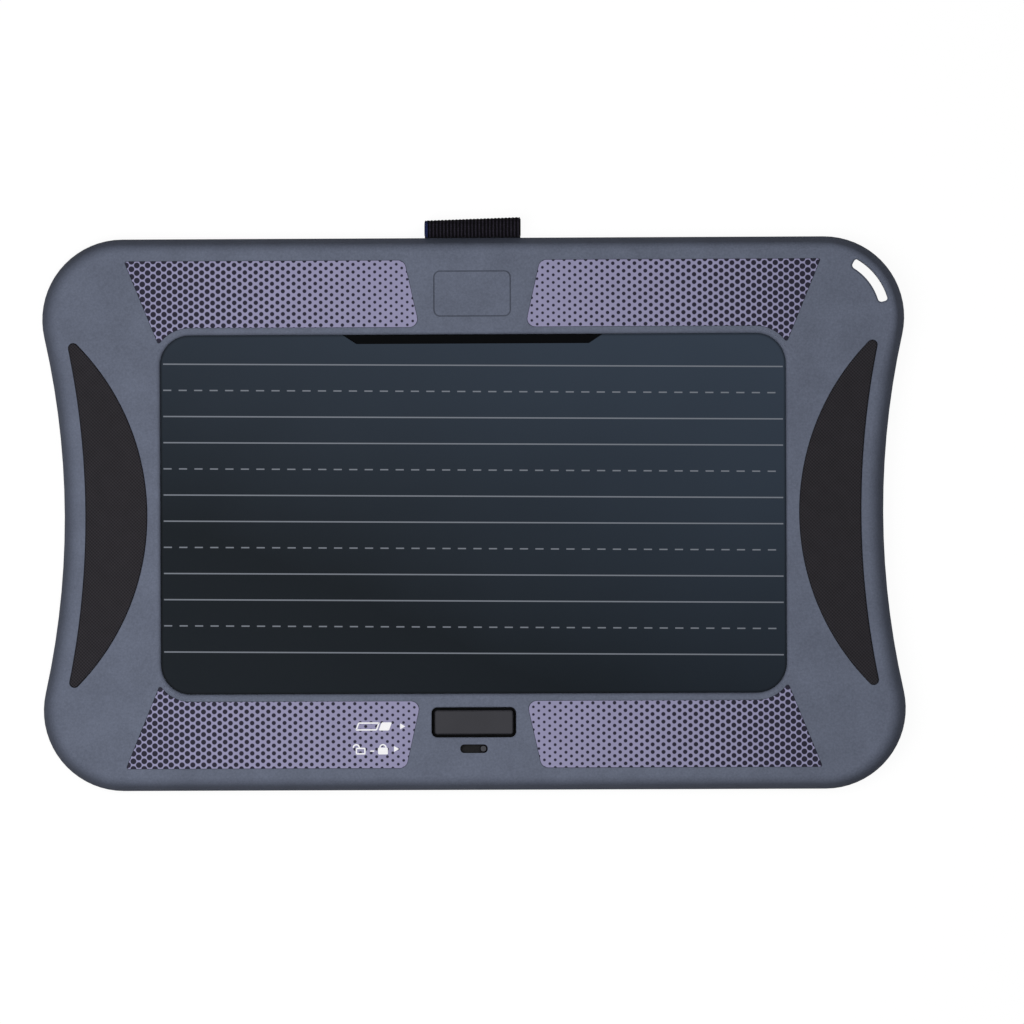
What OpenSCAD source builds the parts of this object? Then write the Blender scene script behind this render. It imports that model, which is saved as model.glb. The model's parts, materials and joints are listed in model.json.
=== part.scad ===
// LCD writing tablet: a moulded case with drawn-in sides, a framed screen, an erase button,
// a lock slider and a pen loop.
// The tablet lies on its back with the screen up. The origin is the middle of the back face,
// +X runs to the right along the long side, +Y to the pen loop and +Z out of the screen.

/* [Case] */
// Overall width, over the corner bulges
case_w = 317.5; // [290:0.5:350]
// Overall height, without the pen loop
case_h = 203.2; // [195:0.2:230]
// Overall thickness
case_t = 15; // [14.5:0.1:20]
// Radius of the corners seen from the front
corner_r = 29.6; // [26:0.1:34]
// How far the sides are drawn in at mid height
side_draw = 8; // [4:0.5:11]
// Wall thickness of both shells
wall = 2.2; // [1.8:0.1:2.6]
// Height of the parting line between the shells
parting_z = 6.5; // [6:0.1:7.5]
// Radius at the top of the front edge
front_edge_r = 3; // [2.6:0.1:4]
// Slope of the front edge below its rounded top
front_slope = 66; // [60:1:74]
// Radius of the back edge
rear_edge_r = 4.4; // [3.5:0.1:4.4]
// Chamfer beside the parting line
parting_chamfer = 0.4; // [0.2:0.1:0.6]
// Thickness of the lip that locates the shells
lip_t = 0.9; // [0.7:0.1:1.2]
// Height of the lip above the parting line
lip_h = 1.2; // [0.8:0.1:1.4]

/* [Screen] */
// Width of the case's border beside the window
side_border = 43.65; // [43:0.05:50]
// Width of the case's border above and below the window
end_border = 35.55; // [35.4:0.05:37]
// Corner radius of the window
window_r = 11; // [8:0.5:13]
// Radius of the rounded lip round the window
window_lip = 1.6; // [0.6:0.1:1.8]
// How far the screen runs under the bezel at the sides
screen_under_x = 6; // [4:0.1:7]
// How far the screen runs under the bezel at the top and bottom
screen_under_y = 3.2; // [2.6:0.1:3.4]
// Thickness of the foam gasket
gasket_t = 0.4; // [0.3:0.05:0.6]
// Thickness of the ruled front film
film_t = 0.3; // [0.2:0.05:0.4]
// Thickness of the writing layer
lcd_t = 0.6; // [0.4:0.05:0.8]
// Thickness of the stiff backer
backer_t = 1.5; // [1.2:0.1:1.8]
// Width of the contact notch at the window's edge
notch_w = 96; // [80:1:110]
// How much narrower the notch is on each side at its foot
notch_slant = 5.2; // [3:0.1:7]
// Depth of the notch below the window's edge
notch_depth = 3.4; // [2.6:0.1:4.5]

/* [Trim panels] */
// Height of the panels
panel_h = 24.5; // [20:0.1:26]
// Gap between the window and the panels
panel_gap = 2.75; // [2.4:0.05:3.4]
// Half of the gap between two panels, beside the window
panel_inner_near = 19.5; // [18.9:0.1:22]
// Half of the gap between two panels, at the case edge
panel_inner_far = 25; // [23:0.1:28]
// Reach of the panels past the middle of the window's corner, at the case edge
panel_reach = 23.9; // [21:0.1:25]
// How much less they reach beside the window
panel_slant = 10; // [8:0.1:12]
// Radius of the inner corners of the panels
panel_r = 3; // [1.5:0.1:4]
// Radius of the outer corners of the panels
panel_tip_r = 0.7; // [0.4:0.1:0.9]
// Radius of the panels' feet beside the window's corners
panel_foot_r = 0.7; // [0.4:0.1:1]
// Thickness of the panels
panel_t = 0.7; // [0.5:0.05:0.8]
// Depth of the recess that holds a panel
panel_recess = 0.9; // [0.8:0.05:1.1]

/* [Blank field] */
// Width of the outlined blank field above the window
field_w = 28.6; // [20:0.5:30]
// Height of the field
field_h = 17; // [10:0.5:18]
// Corner radius of the field
field_r = 2.5; // [1:0.1:4]
// Width of the groove round the field
field_groove = 0.5; // [0.4:0.1:0.8]
// Depth of the groove
field_depth = 0.35; // [0.1:0.05:0.6]

/* [Grips] */
// Distance from the side of the case to a grip
grip_inset = 8.2; // [8.2:0.1:11]
// Width of a grip at mid height
grip_w = 22.6; // [19:0.1:24]
// Radius of the grip's inner edge
grip_r = 89.5; // [85:0.5:100]
// Radius of the grip's tips
grip_tip_r = 1.8; // [1.2:0.1:2.4]
// Thickness of a grip
grip_t = 1.7; // [1.4:0.1:2]
// Depth of the recess that holds a grip
grip_recess = 1; // [0.7:0.05:1.1]
// Radius round the top edge of a grip
grip_round = 0.6; // [0.2:0.05:0.6]

/* [Lanyard slot] */
// Width of the slot
slot_w = 3.6; // [3:0.1:3.8]
// Angle at which the slot starts
slot_from = 14; // [10:1:18]
// Angle at which the slot ends
slot_to = 61; // [50:0.5:65]
// Corner radius of the slot's ends
slot_r = 1.3; // [0.8:0.1:1.4]
// Bevel round the mouth of the slot
slot_bevel = 0.6; // [0.3:0.1:0.8]
// Wall of the collar round the slot inside the case
slot_wall = 1.8; // [1.4:0.1:2]
// How much further in the slot's inner side is at the back, so that a cord passes easily
slot_flare = 1.9; // [0.5:0.1:2.5]
// How much further round the slot's upper end is at the back
slot_end_flare = 1.2; // [0.3:0.1:1.6]

/* [Erase button] */
// Width of the button's face
button_w = 28.8; // [24:0.1:30]
// Height of the button's face
button_h = 8.8; // [7:0.1:9.2]
// Gap round the face
button_gap = 1.15; // [0.6:0.05:1.3]
// Corner radius of the face
button_r = 1; // [0.6:0.1:2]
// Width of the bezel between the window and the button
button_wall = 5; // [4.6:0.1:6]
// How far the face stands proud of the bezel
button_proud = 0.3; // [0:0.1:0.8]
// Thickness of the flange that keeps the button in
button_flange_t = 1; // [0.8:0.1:1.2]
// Overlap of the flange behind the bezel
button_flange_edge = 0.65; // [0.5:0.05:0.7]
// Travel of the button
button_travel = 0.5; // [0.3:0.05:0.6]

/* [Lock slider] */
// Length of the slot
lock_slot_w = 10.1; // [9:0.1:11]
// Height of the slot
lock_slot_h = 3.2; // [2.8:0.1:3.4]
// Width of the bezel between the button and the slot
lock_wall = 2.55; // [2.4:0.05:3.5]
// Length of the knob
lock_knob_w = 2.6; // [2.4:0.1:4]
// How far the knob sits below the bezel's face
lock_sink = 0.3; // [0:0.1:0.8]

/* [Electronics] */
// Width of the board
board_w = 90; // [86:1:96]
// Height of the board
board_h = 26; // [25:0.1:27]
// Thickness of the board
board_t = 1; // [0.8:0.1:1.2]
// Height of the board's front side above the back of the case
board_z = 8.2; // [8:0.05:8.3]
// Diameter of the coin cell
cell_d = 20; // [16:0.5:20.5]
// Thickness of the coin cell
cell_t = 3.2; // [2.5:0.1:3.2]
// Width of the flexible tail
tail_w = 16; // [10:1:20]
// Thickness of the flexible tail
tail_t = 0.2; // [0.1:0.05:0.25]

/* [Battery door] */
// Width of the door
door_w = 42; // [41:0.5:46]
// Height of the door
door_h = 24.6; // [24:0.1:25]
// Corner radius of the door
door_r = 3; // [1.5:0.1:4]

/* [Pen loop] */
// Length of the loop along the top edge
loop_w = 36; // [30:0.5:37]
// How far the loop stands out from the top edge
loop_reach = 6.3; // [6.2:0.1:9]
// Height of the loop across the edge
loop_h = 10; // [9:0.1:12]
// Thickness of the webbing
loop_t = 0.95; // [0.8:0.05:1]
// Outer corner radius of the loop
loop_r = 2.3; // [1.5:0.1:2.8]
// Length of the tails held inside the case
loop_tail = 13; // [11:0.5:14]

/* [Screws] */
// Radius of the case screws' thread
case_screw_r = 1.25; // [1:0.05:1.4]
// Radius of the small screws' thread
small_screw_r = 0.85; // [0.7:0.05:1]
// Distance of the middle screws from the centre along X
mid_screw_x = 62; // [58:1:70]
// Distance of the middle screws from the top and bottom edges
mid_screw_inset = 17.6; // [16:0.1:19]
// Distance of the side screws from the sides at mid height
side_screw_inset = 17.75; // [16:0.05:19]
// Free depth past the end of a screw
screw_end_gap = 0.4; // [0.2:0.1:0.6]

/* [Fits] */
// Clearance round trim set into a recess
seat_gap = 0.15; // [0.1:0.05:0.25]
// Clearance round a moving piece
slide_gap = 0.3; // [0.2:0.05:0.35]
// Clearance between faces that nearly touch
face_gap = 0.1; // [0.05:0.05:0.15]
// Clearance round a screw or plunger
screw_gap = 0.05; // [0.03:0.01:0.08]

/* [Hidden] */
$fn = 64;
// Overshoot of a cutting shape past the face that it cuts
cut = 0.5;
// Corner radius of a pill shape, as a share of its height
pill = 0.46;
// Steps in a short arc and in a long one
arc_steps = 10;
long_arc_steps = 40;

// Corner circles and the large circles that draw in the sides, which touch each other
corner_x = case_w / 2 - corner_r;
corner_y = case_h / 2 - corner_r;
waist_x = case_w / 2 - side_draw;
waist_step = waist_x - corner_x;
side_r = (waist_step ^ 2 + corner_y ^ 2 - corner_r ^ 2) / (2 * (corner_r - waist_step));
side_x = waist_x + side_r;
side_angle = asin(corner_y / (side_r + corner_r));
band_end_r = 2;
band = corner_r - band_end_r;

// Front edge: an upright land that clears the lip, a slope, and a rounded top
front_h = case_t - parting_z;
front_turn = (90 - front_slope) / 2;
front_land = lip_h + wall * tan(front_turn) + 2 * face_gap;
front_edge_w = front_edge_r * sin(front_slope)
    + (front_h - front_land - front_edge_r * (1 - cos(front_slope))) / tan(front_slope);

core_overlap = 4;
core_x = corner_x + core_overlap;
core_y = corner_y + core_overlap;
lip_root = 2;
window_w = case_w - 2 * side_border;
window_h = case_h - 2 * end_border;

// Heights in the stack, from the back up
floor_z = wall;
plate_z = case_t - wall;
gasket_z = plate_z - gasket_t;
film_z = gasket_z - film_t;
lcd_z = film_z - lcd_t;
backer_z = lcd_z - backer_t;
screen_w = window_w + 2 * screen_under_x;
screen_h = window_h + 2 * screen_under_y;
screen_r = window_r / 2;
gasket_inset = 0.6;

// Panels
panel_near_y = window_h / 2 + panel_gap;
panel_far_y = panel_near_y + panel_h;
window_corner = [window_w / 2 - window_r, window_h / 2 - window_r];
panel_arc_r = window_r + panel_gap;
panel_outer_far = window_corner.x + panel_reach;

// Grips
grip_side_r = side_r + grip_inset;
grip_apex = waist_x - grip_inset - grip_w;
grip_x = grip_apex + grip_r;

// Rounded lip of the window as steps outward and heights, carried on past the face
lip_steps = 5;
lip_arc = [
    for (i = [0:lip_steps])
        [0, case_t - window_lip] + window_lip * [1 - cos(90 * i / lip_steps), sin(90 * i / lip_steps)]
];
window_lip_curve = [each lip_arc, 2 * lip_arc[lip_steps] - lip_arc[lip_steps - 1]];

// Lanyard slot
slot_out_r = corner_r - wall - lip_t - 2 * face_gap - slot_wall;
slot_in_r = slot_out_r - slot_w;
slot_parting_share = (case_t - parting_z) / case_t;
slot_collar_in = 2;
slot_collar_z = case_t - slot_collar_in;

// Button and its switch
button_z = case_t + button_proud;
button_open_w = button_w + 2 * button_gap;
button_open_h = button_h + 2 * button_gap;
button_drop = window_h / 2 + button_wall + button_open_h / 2;
button_bevel = 0.4;
mouth_bevel = 0.25;
flange_z = plate_z - face_gap;
flange_w = button_open_w + 2 * button_flange_edge;
flange_h = button_open_h + 2 * button_flange_edge;
guide_t = 1.4;
guide_h = 3;
guide_short = 1;
push_drop = 0.2;
push_wall = 0.7;
push_z = flange_z - button_flange_t - push_drop;
plunger_r = 1.7;
plunger_l = 1.6;
switch_w = 6;
switch_top = push_z - button_travel - slide_gap;
switch_well_gap = 0.2;

// Locating ribs round the screen, the upper ones clear of the flexible tail
frame_t = 1.4;
frame_foot_gap = 0.5;
frame_h = plate_z - backer_z - frame_foot_gap;
frame_corner = 15;
frame_top_w = 40;
frame_bottom_w = 30;

// Lock slider and its switch
knob_h = lock_slot_h - 2 * slide_gap;
lock_travel = lock_slot_w - lock_knob_w - 2 * slide_gap;
knob_rest_x = lock_travel / 2;
lock_drop = button_drop + button_open_h / 2 + lock_wall + lock_slot_h / 2;
knob_flange_edge = 0.75;
knob_flange_w = lock_slot_w + lock_travel + 2 * knob_flange_edge;
knob_flange_side = 1;
knob_flange_h = lock_slot_h + 2 * knob_flange_side;
knob_flange_t = 0.9;
knob_flange_r = 1;
knob_bevel = 0.3;
lever_w = 1.4;
lever_in = 0.5;
lever_top = flange_z - lever_in;
lever_lift = 1.2;
lever_foot = board_z + lever_lift;
lock_switch_wall = 0.65;
lock_switch_w = lever_w + lock_travel + 2 * (slide_gap + lock_switch_wall);
lock_switch_h = 4;
lock_switch_gap = 1.2;
lock_switch_top = flange_z - knob_flange_t - lock_switch_gap;

// Board, its posts and what it carries
board_x = -4;
board_gap = 1.65;
board_y = -screen_h / 2 - board_gap - board_h / 2;
board_r = 1.5;
board_post_r = 2.5;
board_post_inset = 4;
board_post = [board_w / 2 - board_post_inset, board_h / 2 - board_post_inset];
board_hole_gap = 0.25;
board_hole_r = small_screw_r + board_hole_gap;
board_screw_l = 3;
cell_x = 22;
cell_shift = 1.4;
cell_y = board_y + cell_shift;
cell_pos = [cell_x, cell_y];
cell_lift = 0.7;
cell_floor = floor_z + cell_lift;
cell_top = cell_floor + cell_t;
cell_rim = 0.6;
cell_cap_inset = 1.3;
leaf = [12, 3, 0.25];
holder_base_z = cell_top + leaf.z + screw_gap;
holder_wall = 1.6;
holder_pocket_gap = 0.2;
holder_pocket_r = cell_d / 2 + holder_pocket_gap;
holder_r = holder_pocket_r + holder_wall;
clip_w = 5;
clip_t = 0.3;
tail_in = 3;
tail_z = backer_z - face_gap - tail_t;
fold_y = screen_h / 2 + face_gap;
connector_wall = 1.2;
connector_w = tail_w + 2 * connector_wall;
connector_gap = 1.3;
tail_x = board_x - board_post.x + board_post_r + connector_gap + connector_w / 2;
connector_h = 5;
connector_roof = 0.8;
connector_edge = 0.4;
connector_y = board_y + board_h / 2 - connector_h / 2 - connector_edge;
frame_top_x = tail_w / 2 - tail_x + face_gap + slide_gap + frame_top_w / 2;

// Battery door
ledge_gap = 0.2;
ledge_z = floor_z + ledge_gap;
ledge_t = 0.8;
ledge_top = ledge_z + ledge_t;
ledge_wall = 1.4;
ledge_side_gap = 2.5;
ledge_end_gap = 0.6;
ledge_open = [cell_d + 2 * ledge_side_gap, cell_d + 2 * ledge_end_gap];
door_screw_inset = 4.5;
door_screw_x = door_w / 2 - door_screw_inset;
door_screw_seat = 1.4;
door_head_r = 2;
door_boss_r = 2.8;
door_boss_top = holder_base_z - screw_end_gap;

// Pen loop and its clamp
loop_top = case_h / 2 + loop_reach;
loop_foot = case_h / 2 + seat_gap;
loop_depth = loop_top - loop_foot;
tail_pair_t = 2 * loop_t;
loop_slot_gap = 0.4;
loop_slot_d = 4 * wall + 2 * lip_t;
clamp_inset = 9.5;
clamp_y = case_h / 2 - clamp_inset;
clamp_d = 8;
clamp_t = 1.8;
clamp_z = parting_z + tail_pair_t / 2 + face_gap;
clamp_screw_gap = 3.2;
clamp_screw_x = loop_w / 2 + clamp_screw_gap;
clamp_screw_l = 3.6;
clamp_end = 3;
clamp_w = 2 * (clamp_screw_x + clamp_end);
clamp_post_r = 2.4;
pad_top = parting_z - tail_pair_t / 2 - face_gap;

// Case screws
case_head_r = 2 * case_screw_r;
case_head_t = 1.8;
case_seat_z = 3.2;
case_post_wall = 1.2;
case_post_r = case_head_r + case_post_wall;
case_boss_wall = 2.1;
case_boss_r = case_screw_r + case_boss_wall;
case_screw_short = 1.8;
case_screw_top = plate_z - case_screw_short;
mid_screw_y = case_h / 2 - mid_screw_inset;
side_screw_x = waist_x - side_screw_inset;
case_posts = [
    for (x = [-1, 1], y = [-1, 1]) [x * corner_x, y * corner_y],
    for (x = [-1, 1], y = [-1, 1]) [x * mid_screw_x, y * mid_screw_y],
    for (x = [-1, 1]) [x * side_screw_x, 0]
];

// Ribs
rib_t = 1.6;
rib_pitch = 38;
rib_count = 6;
rib_short = 5;
rib_reach = screen_h / 2 - rib_short;
cross_rib_z = 7;
cross_rib_y = 45;
cross_rib_short = 20;
cross_rib_w = 2 * (corner_x - cross_rib_short);

// Points of an arc about c from one angle to another
function arc_points(c, r, from, to, n = arc_steps) =
    [for (i = [0:n]) c + r * [cos(from + (to - from) * i / n), sin(from + (to - from) * i / n)]];

// Arcs that follow on from each other as one closed outline, each shared end kept once
function joined(arcs) =
    let (points = [for (arc = arcs) each arc], n = len(points))
        [for (i = [0:n - 1]) if (norm(points[i] - points[(i + 1) % n]) > 0.001) points[i]];

// Rounded rectangle, counter-clockwise
function round_rect(w, h, r) = [
    for (q = [0:3])
        let (sx = (q == 0 || q == 3) ? 1 : -1, sy = q < 2 ? 1 : -1)
            each arc_points([sx * (w / 2 - r), sy * (h / 2 - r)], r, q * 90, q * 90 + 90)
];

// Where the line through p along u crosses the line through q along v
function crossing(p, u, q, v) = p + u * ((q.x - p.x) * v.y - (q.y - p.y) * v.x) / (u.x * v.y - u.y * v.x);

function unit(v) = v / norm(v);

// Arc of radius r that rounds the corner p between the directions to a and to b
function rounded_corner(a, p, b, r) =
    let (u = unit(a - p), v = unit(b - p), half = acos(u * v) / 2)
        let (c = p + unit(u + v) * r / sin(half), reach = r / tan(half))
            let (from = tangent_angle(c, p + u * reach), to = tangent_angle(c, p + v * reach))
                arc_points(c, r, from, to < from ? to + 360 : to);

function tangent_angle(c, p) = atan2(p.y - c.y, p.x - c.x);

// Outline of the panel at the upper right, grown by c on every side
function panel_outline(c) =
    let (
        inner_dir = unit([panel_inner_far - panel_inner_near, panel_h]),
        outer_dir = unit([panel_slant, panel_h]),
        inner_at = [panel_inner_near, panel_near_y] + c * [-inner_dir.y, inner_dir.x],
        outer_at = [panel_outer_far, panel_far_y] + c * [outer_dir.y, -outer_dir.x],
        near = crossing(inner_at, inner_dir, [0, panel_near_y - c], [1, 0]),
        far = crossing(inner_at, inner_dir, [0, panel_far_y + c], [1, 0]),
        top = crossing(outer_at, outer_dir, [0, panel_far_y + c], [1, 0]),
        r = panel_arc_r - c,
        outward = [outer_dir.y, -outer_dir.x],
        away = outer_at - panel_foot_r * outward - window_corner,
        b = away * outer_dir,
        along = sqrt(b * b - away * away + (r + panel_foot_r) ^ 2) - b,
        foot = window_corner + away + along * outer_dir,
        foot_angle = tangent_angle(window_corner, foot)
    )
    concat(
        rounded_corner(far, near, [window_corner.x, panel_near_y - c], panel_r),
        arc_points(window_corner, r, 90, foot_angle),
        arc_points(foot, panel_foot_r, foot_angle + 180, 360 + tangent_angle([0, 0], outward)),
        rounded_corner(foot + panel_foot_r * outward, top, far, panel_tip_r),
        rounded_corner(top, far, near, panel_r)
    );

// Outline of the right grip, grown by c on every side
function grip_outline(c) =
    let (
        inner = grip_r - grip_tip_r,
        outer = grip_side_r + grip_tip_r,
        x = (grip_x * grip_x - side_x * side_x - inner * inner + outer * outer) / (2 * (grip_x - side_x)),
        y = sqrt(inner * inner - (x - grip_x) * (x - grip_x)),
        b = atan2(y, grip_x - x),
        a = atan2(y, side_x - x)
    )
    joined([
        arc_points([grip_x, 0], grip_r + c, 180 - b, 180 + b, long_arc_steps),
        arc_points([x, -y], grip_tip_r + c, 180 + b, 360 + a),
        arc_points([side_x, 0], grip_side_r - c, 180 + a, 180 - a, long_arc_steps),
        arc_points([x, y], grip_tip_r + c, -a, 180 - b)
    ]);

// Outline of the lanyard slot, grown by c on every side and with a share of the flare towards the back
function slot_outline(c, share = 0) =
    let (
        middle = [corner_x, corner_y],
        flare = slot_flare * share,
        end = slot_to + slot_end_flare * share / slot_out_r * 180 / PI,
        out_r = slot_out_r - slot_r,
        in_r = slot_in_r - flare + slot_r,
        out_step = asin(slot_r / out_r),
        in_step = asin(slot_r / in_r),
        spot = function (r, a) middle + r * [cos(a), sin(a)]
    )
    joined([
        arc_points(middle, slot_out_r + c, slot_from + out_step, end - out_step),
        arc_points(spot(out_r, end - out_step), slot_r + c, end - out_step, end + 90),
        arc_points(spot(in_r, end - in_step), slot_r + c, end + 90, end - in_step + 180),
        arc_points(middle, slot_in_r - flare - c, end - in_step, slot_from + in_step),
        arc_points(spot(in_r, slot_from + in_step), slot_r + c, slot_from + in_step + 180, slot_from + 270),
        arc_points(spot(out_r, slot_from + out_step), slot_r + c, slot_from + 270, slot_from + out_step + 360)
    ]);

// Contact notch in the screen, or the pad that fills it when c is negative
function notch_outline(c) =
    let (
        edge = window_h / 2,
        foot = edge - notch_depth - c,
        top = fold_y + tail_t / 2,
        half = notch_w / 2 + c,
        slope = notch_slant / notch_depth,
        foot_x = half - slope * (edge - foot),
        top_x = half + slope * (top - edge)
    )
    [[-foot_x, foot], [foot_x, foot], [top_x, top], [-top_x, top]];

// Solid through outlines with the same even number of points, each at its own height.
// A ladder of triangles fills both ends, from the point numbered tip to the one opposite.
module loft(outlines, heights, tip = 0) {
    n = len(outlines[0]);
    last = len(outlines) - 1;
    points = [for (k = [0:last], p = outlines[k]) [p.x, p.y, heights[k]]];
    sides = [
        for (k = [0:last - 1], i = [0:n - 1])
            let (j = (i + 1) % n) [k * n + i, k * n + n + i, k * n + n + j, k * n + j]
    ];
    ladder = concat(
        [for (k = [0:n / 2 - 2]) [tip + k, tip + k + 1, tip + n - k - 1]],
        [for (k = [1:n / 2 - 1]) [tip + k, tip + n - k - 1, tip + n - k]]
    );
    low_end = [for (face = ladder) [for (i = face) i % n]];
    high_end = [for (face = ladder) [for (i = [2:-1:0]) last * n + face[i] % n]];
    polyhedron(points, concat(low_end, high_end, sides));
}

// Straight-sided plate from an outline
module plate(outline, z, t) {
    translate([0, 0, z]) linear_extrude(t) polygon(outline);
}

module box(x, y, z, size) {
    translate([x - size.x / 2, y - size.y / 2, z]) cube(size);
}

module post(x, y, z, r, h) {
    translate([x, y, z]) cylinder(r = r, h = h);
}

module four_ways() {
    for (x = [0, 1], y = [0, 1]) mirror([x, 0, 0]) mirror([0, y, 0]) children();
}

// Line of the front edge from the parting line to the plate in the middle, moved in by d
function front_edge(d) = concat(
    [[d, front_h - front_land + d * tan(front_turn)]],
    arc_points([front_edge_w, front_edge_r], front_edge_r - d, 270 - front_slope, 270),
    [[band, d]]
);

// Section through the front shell's edge: distance from the outline along X, depth below its face along Y
module front_section() {
    outer = concat([[parting_chamfer, front_h], [0, front_h - parting_chamfer]], front_edge(0));
    inner = concat([[wall, front_h]], front_edge(wall));
    polygon(concat(outer, [for (i = [len(inner) - 1:-1:0]) inner[i]]));
}

// Section through the rear shell's edge, with the lip that locates the front shell
module rear_section() {
    difference() {
        union() {
            difference() {
                intersection() {
                    translate([rear_edge_r, rear_edge_r]) circle(rear_edge_r);
                    square(rear_edge_r);
                }
                translate([rear_edge_r, rear_edge_r]) circle(rear_edge_r - wall);
            }
            translate([rear_edge_r, 0]) square([band - rear_edge_r, wall]);
            translate([0, rear_edge_r]) square([wall, parting_z - rear_edge_r]);
            translate([wall / 2, parting_z - lip_root]) square([wall / 2 + face_gap + lip_t, lip_root]);
            translate([wall + face_gap, parting_z - lip_root / 2]) square([lip_t, lip_root / 2 + lip_h]);
        }
        polygon([
            [-cut, parting_z + cut],
            [parting_chamfer + cut, parting_z + cut],
            [-cut, parting_z - parting_chamfer - cut]
        ]);
    }
}

// Hollow shell lying on its face: the section given is carried round the outline, with a plate in the middle
module shell() {
    four_ways() translate([corner_x, corner_y, 0]) mirror([1, -1, 0])
        rotate_extrude(angle = 90 + side_angle, $fn = 180) translate([corner_r, 0]) mirror([1, 0]) children();
    for (side = [0, 1]) mirror([side, 0, 0]) translate([side_x, 0, 0])
        rotate_extrude(angle = 2 * side_angle, start = 180 - side_angle, $fn = 720)
            translate([side_r, 0]) children();
    for (side = [0, 1]) mirror([0, side, 0]) translate([-corner_x, case_h / 2, 0])
        rotate([90, 0, 90]) linear_extrude(2 * corner_x) mirror([1, 0]) children();
    box(0, 0, 0, [2 * core_x, 2 * core_y, wall]);
}

module front_bezel() {
    boss_z = parting_z + face_gap;
    frame_y = screen_h / 2 + slide_gap + frame_t / 2;
    color("slategray") difference() {
        union() {
            translate([0, 0, case_t]) mirror([0, 0, 1]) shell() front_section();
            for (p = case_posts) post(p.x, p.y, boss_z, case_boss_r, plate_z - boss_z + cut);
            for (x = [-1, 1], y = [-1, 1])
                post(board_x + x * board_post.x, board_y + y * board_post.y, board_z, board_post_r,
                    plate_z - board_z + cut);
            plate(slot_outline(slot_wall, slot_parting_share), parting_z + face_gap,
                slot_collar_z - parting_z);
            for (x = [-1, 1]) {
                box(x * (flange_w / 2 + slide_gap + guide_t / 2), -button_drop, plate_z - guide_h,
                    [guide_t, flange_h - 2 * guide_short, guide_h + cut]);
                box(x * (screen_w / 2 + slide_gap + frame_t / 2), 0, plate_z - frame_h,
                    [frame_t, screen_h - 2 * frame_corner, frame_h + cut]);
                box(x * frame_top_x, frame_y, plate_z - frame_h, [frame_top_w, frame_t, frame_h + cut]);
                box(x * frame_top_x, -frame_y, plate_z - frame_h, [frame_bottom_w, frame_t, frame_h + cut]);
            }
        }
        plate(round_rect(window_w, window_h, window_r), plate_z - cut, wall + 2 * cut);
        loft(
            [for (p = window_lip_curve) round_rect(window_w + 2 * p.x, window_h + 2 * p.x, window_r + p.x)],
            [for (p = window_lip_curve) p.y]
        );
        four_ways() plate(panel_outline(seat_gap), case_t - panel_recess, panel_recess + cut);
        for (side = [0, 1]) mirror([side, 0, 0])
            plate(grip_outline(seat_gap), case_t - grip_recess, grip_recess + cut);
        translate([0, panel_near_y + panel_h / 2, 0]) difference() {
            plate(round_rect(field_w, field_h, field_r), case_t - field_depth, field_depth + cut);
            plate(round_rect(field_w - 2 * field_groove, field_h - 2 * field_groove, field_r - field_groove),
                case_t - field_depth - cut, field_depth + 3 * cut);
        }
        loft(
            [slot_outline(0, 1), slot_outline(0), slot_outline(2 * slot_bevel)],
            [0, case_t - slot_bevel, case_t + slot_bevel],
            2 * arc_steps
        );
        translate([0, -button_drop, 0]) {
            plate(round_rect(button_open_w, button_open_h, button_r + button_gap), plate_z - cut,
                wall + 2 * cut);
            loft([
                round_rect(button_open_w, button_open_h, button_r + button_gap),
                round_rect(button_open_w + 4 * mouth_bevel, button_open_h + 4 * mouth_bevel,
                    button_r + button_gap + 2 * mouth_bevel)
            ], [case_t - mouth_bevel, case_t + mouth_bevel]);
        }
        translate([0, -lock_drop, 0])
            plate(round_rect(lock_slot_w, lock_slot_h, pill * lock_slot_h), plate_z - cut, wall + 2 * cut);
        for (p = case_posts)
            post(p.x, p.y, boss_z - cut, case_screw_r + screw_gap,
                case_screw_top + screw_end_gap - boss_z + cut);
        for (x = [-1, 1], y = [-1, 1])
            post(board_x + x * board_post.x, board_y + y * board_post.y, board_z - cut,
                small_screw_r + screw_gap, board_screw_l + screw_end_gap + cut);
        box(0, case_h / 2, parting_z - cut,
            [loop_w + 2 * loop_slot_gap, loop_slot_d, tail_pair_t / 2 + face_gap + cut]);
    }
}

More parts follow.
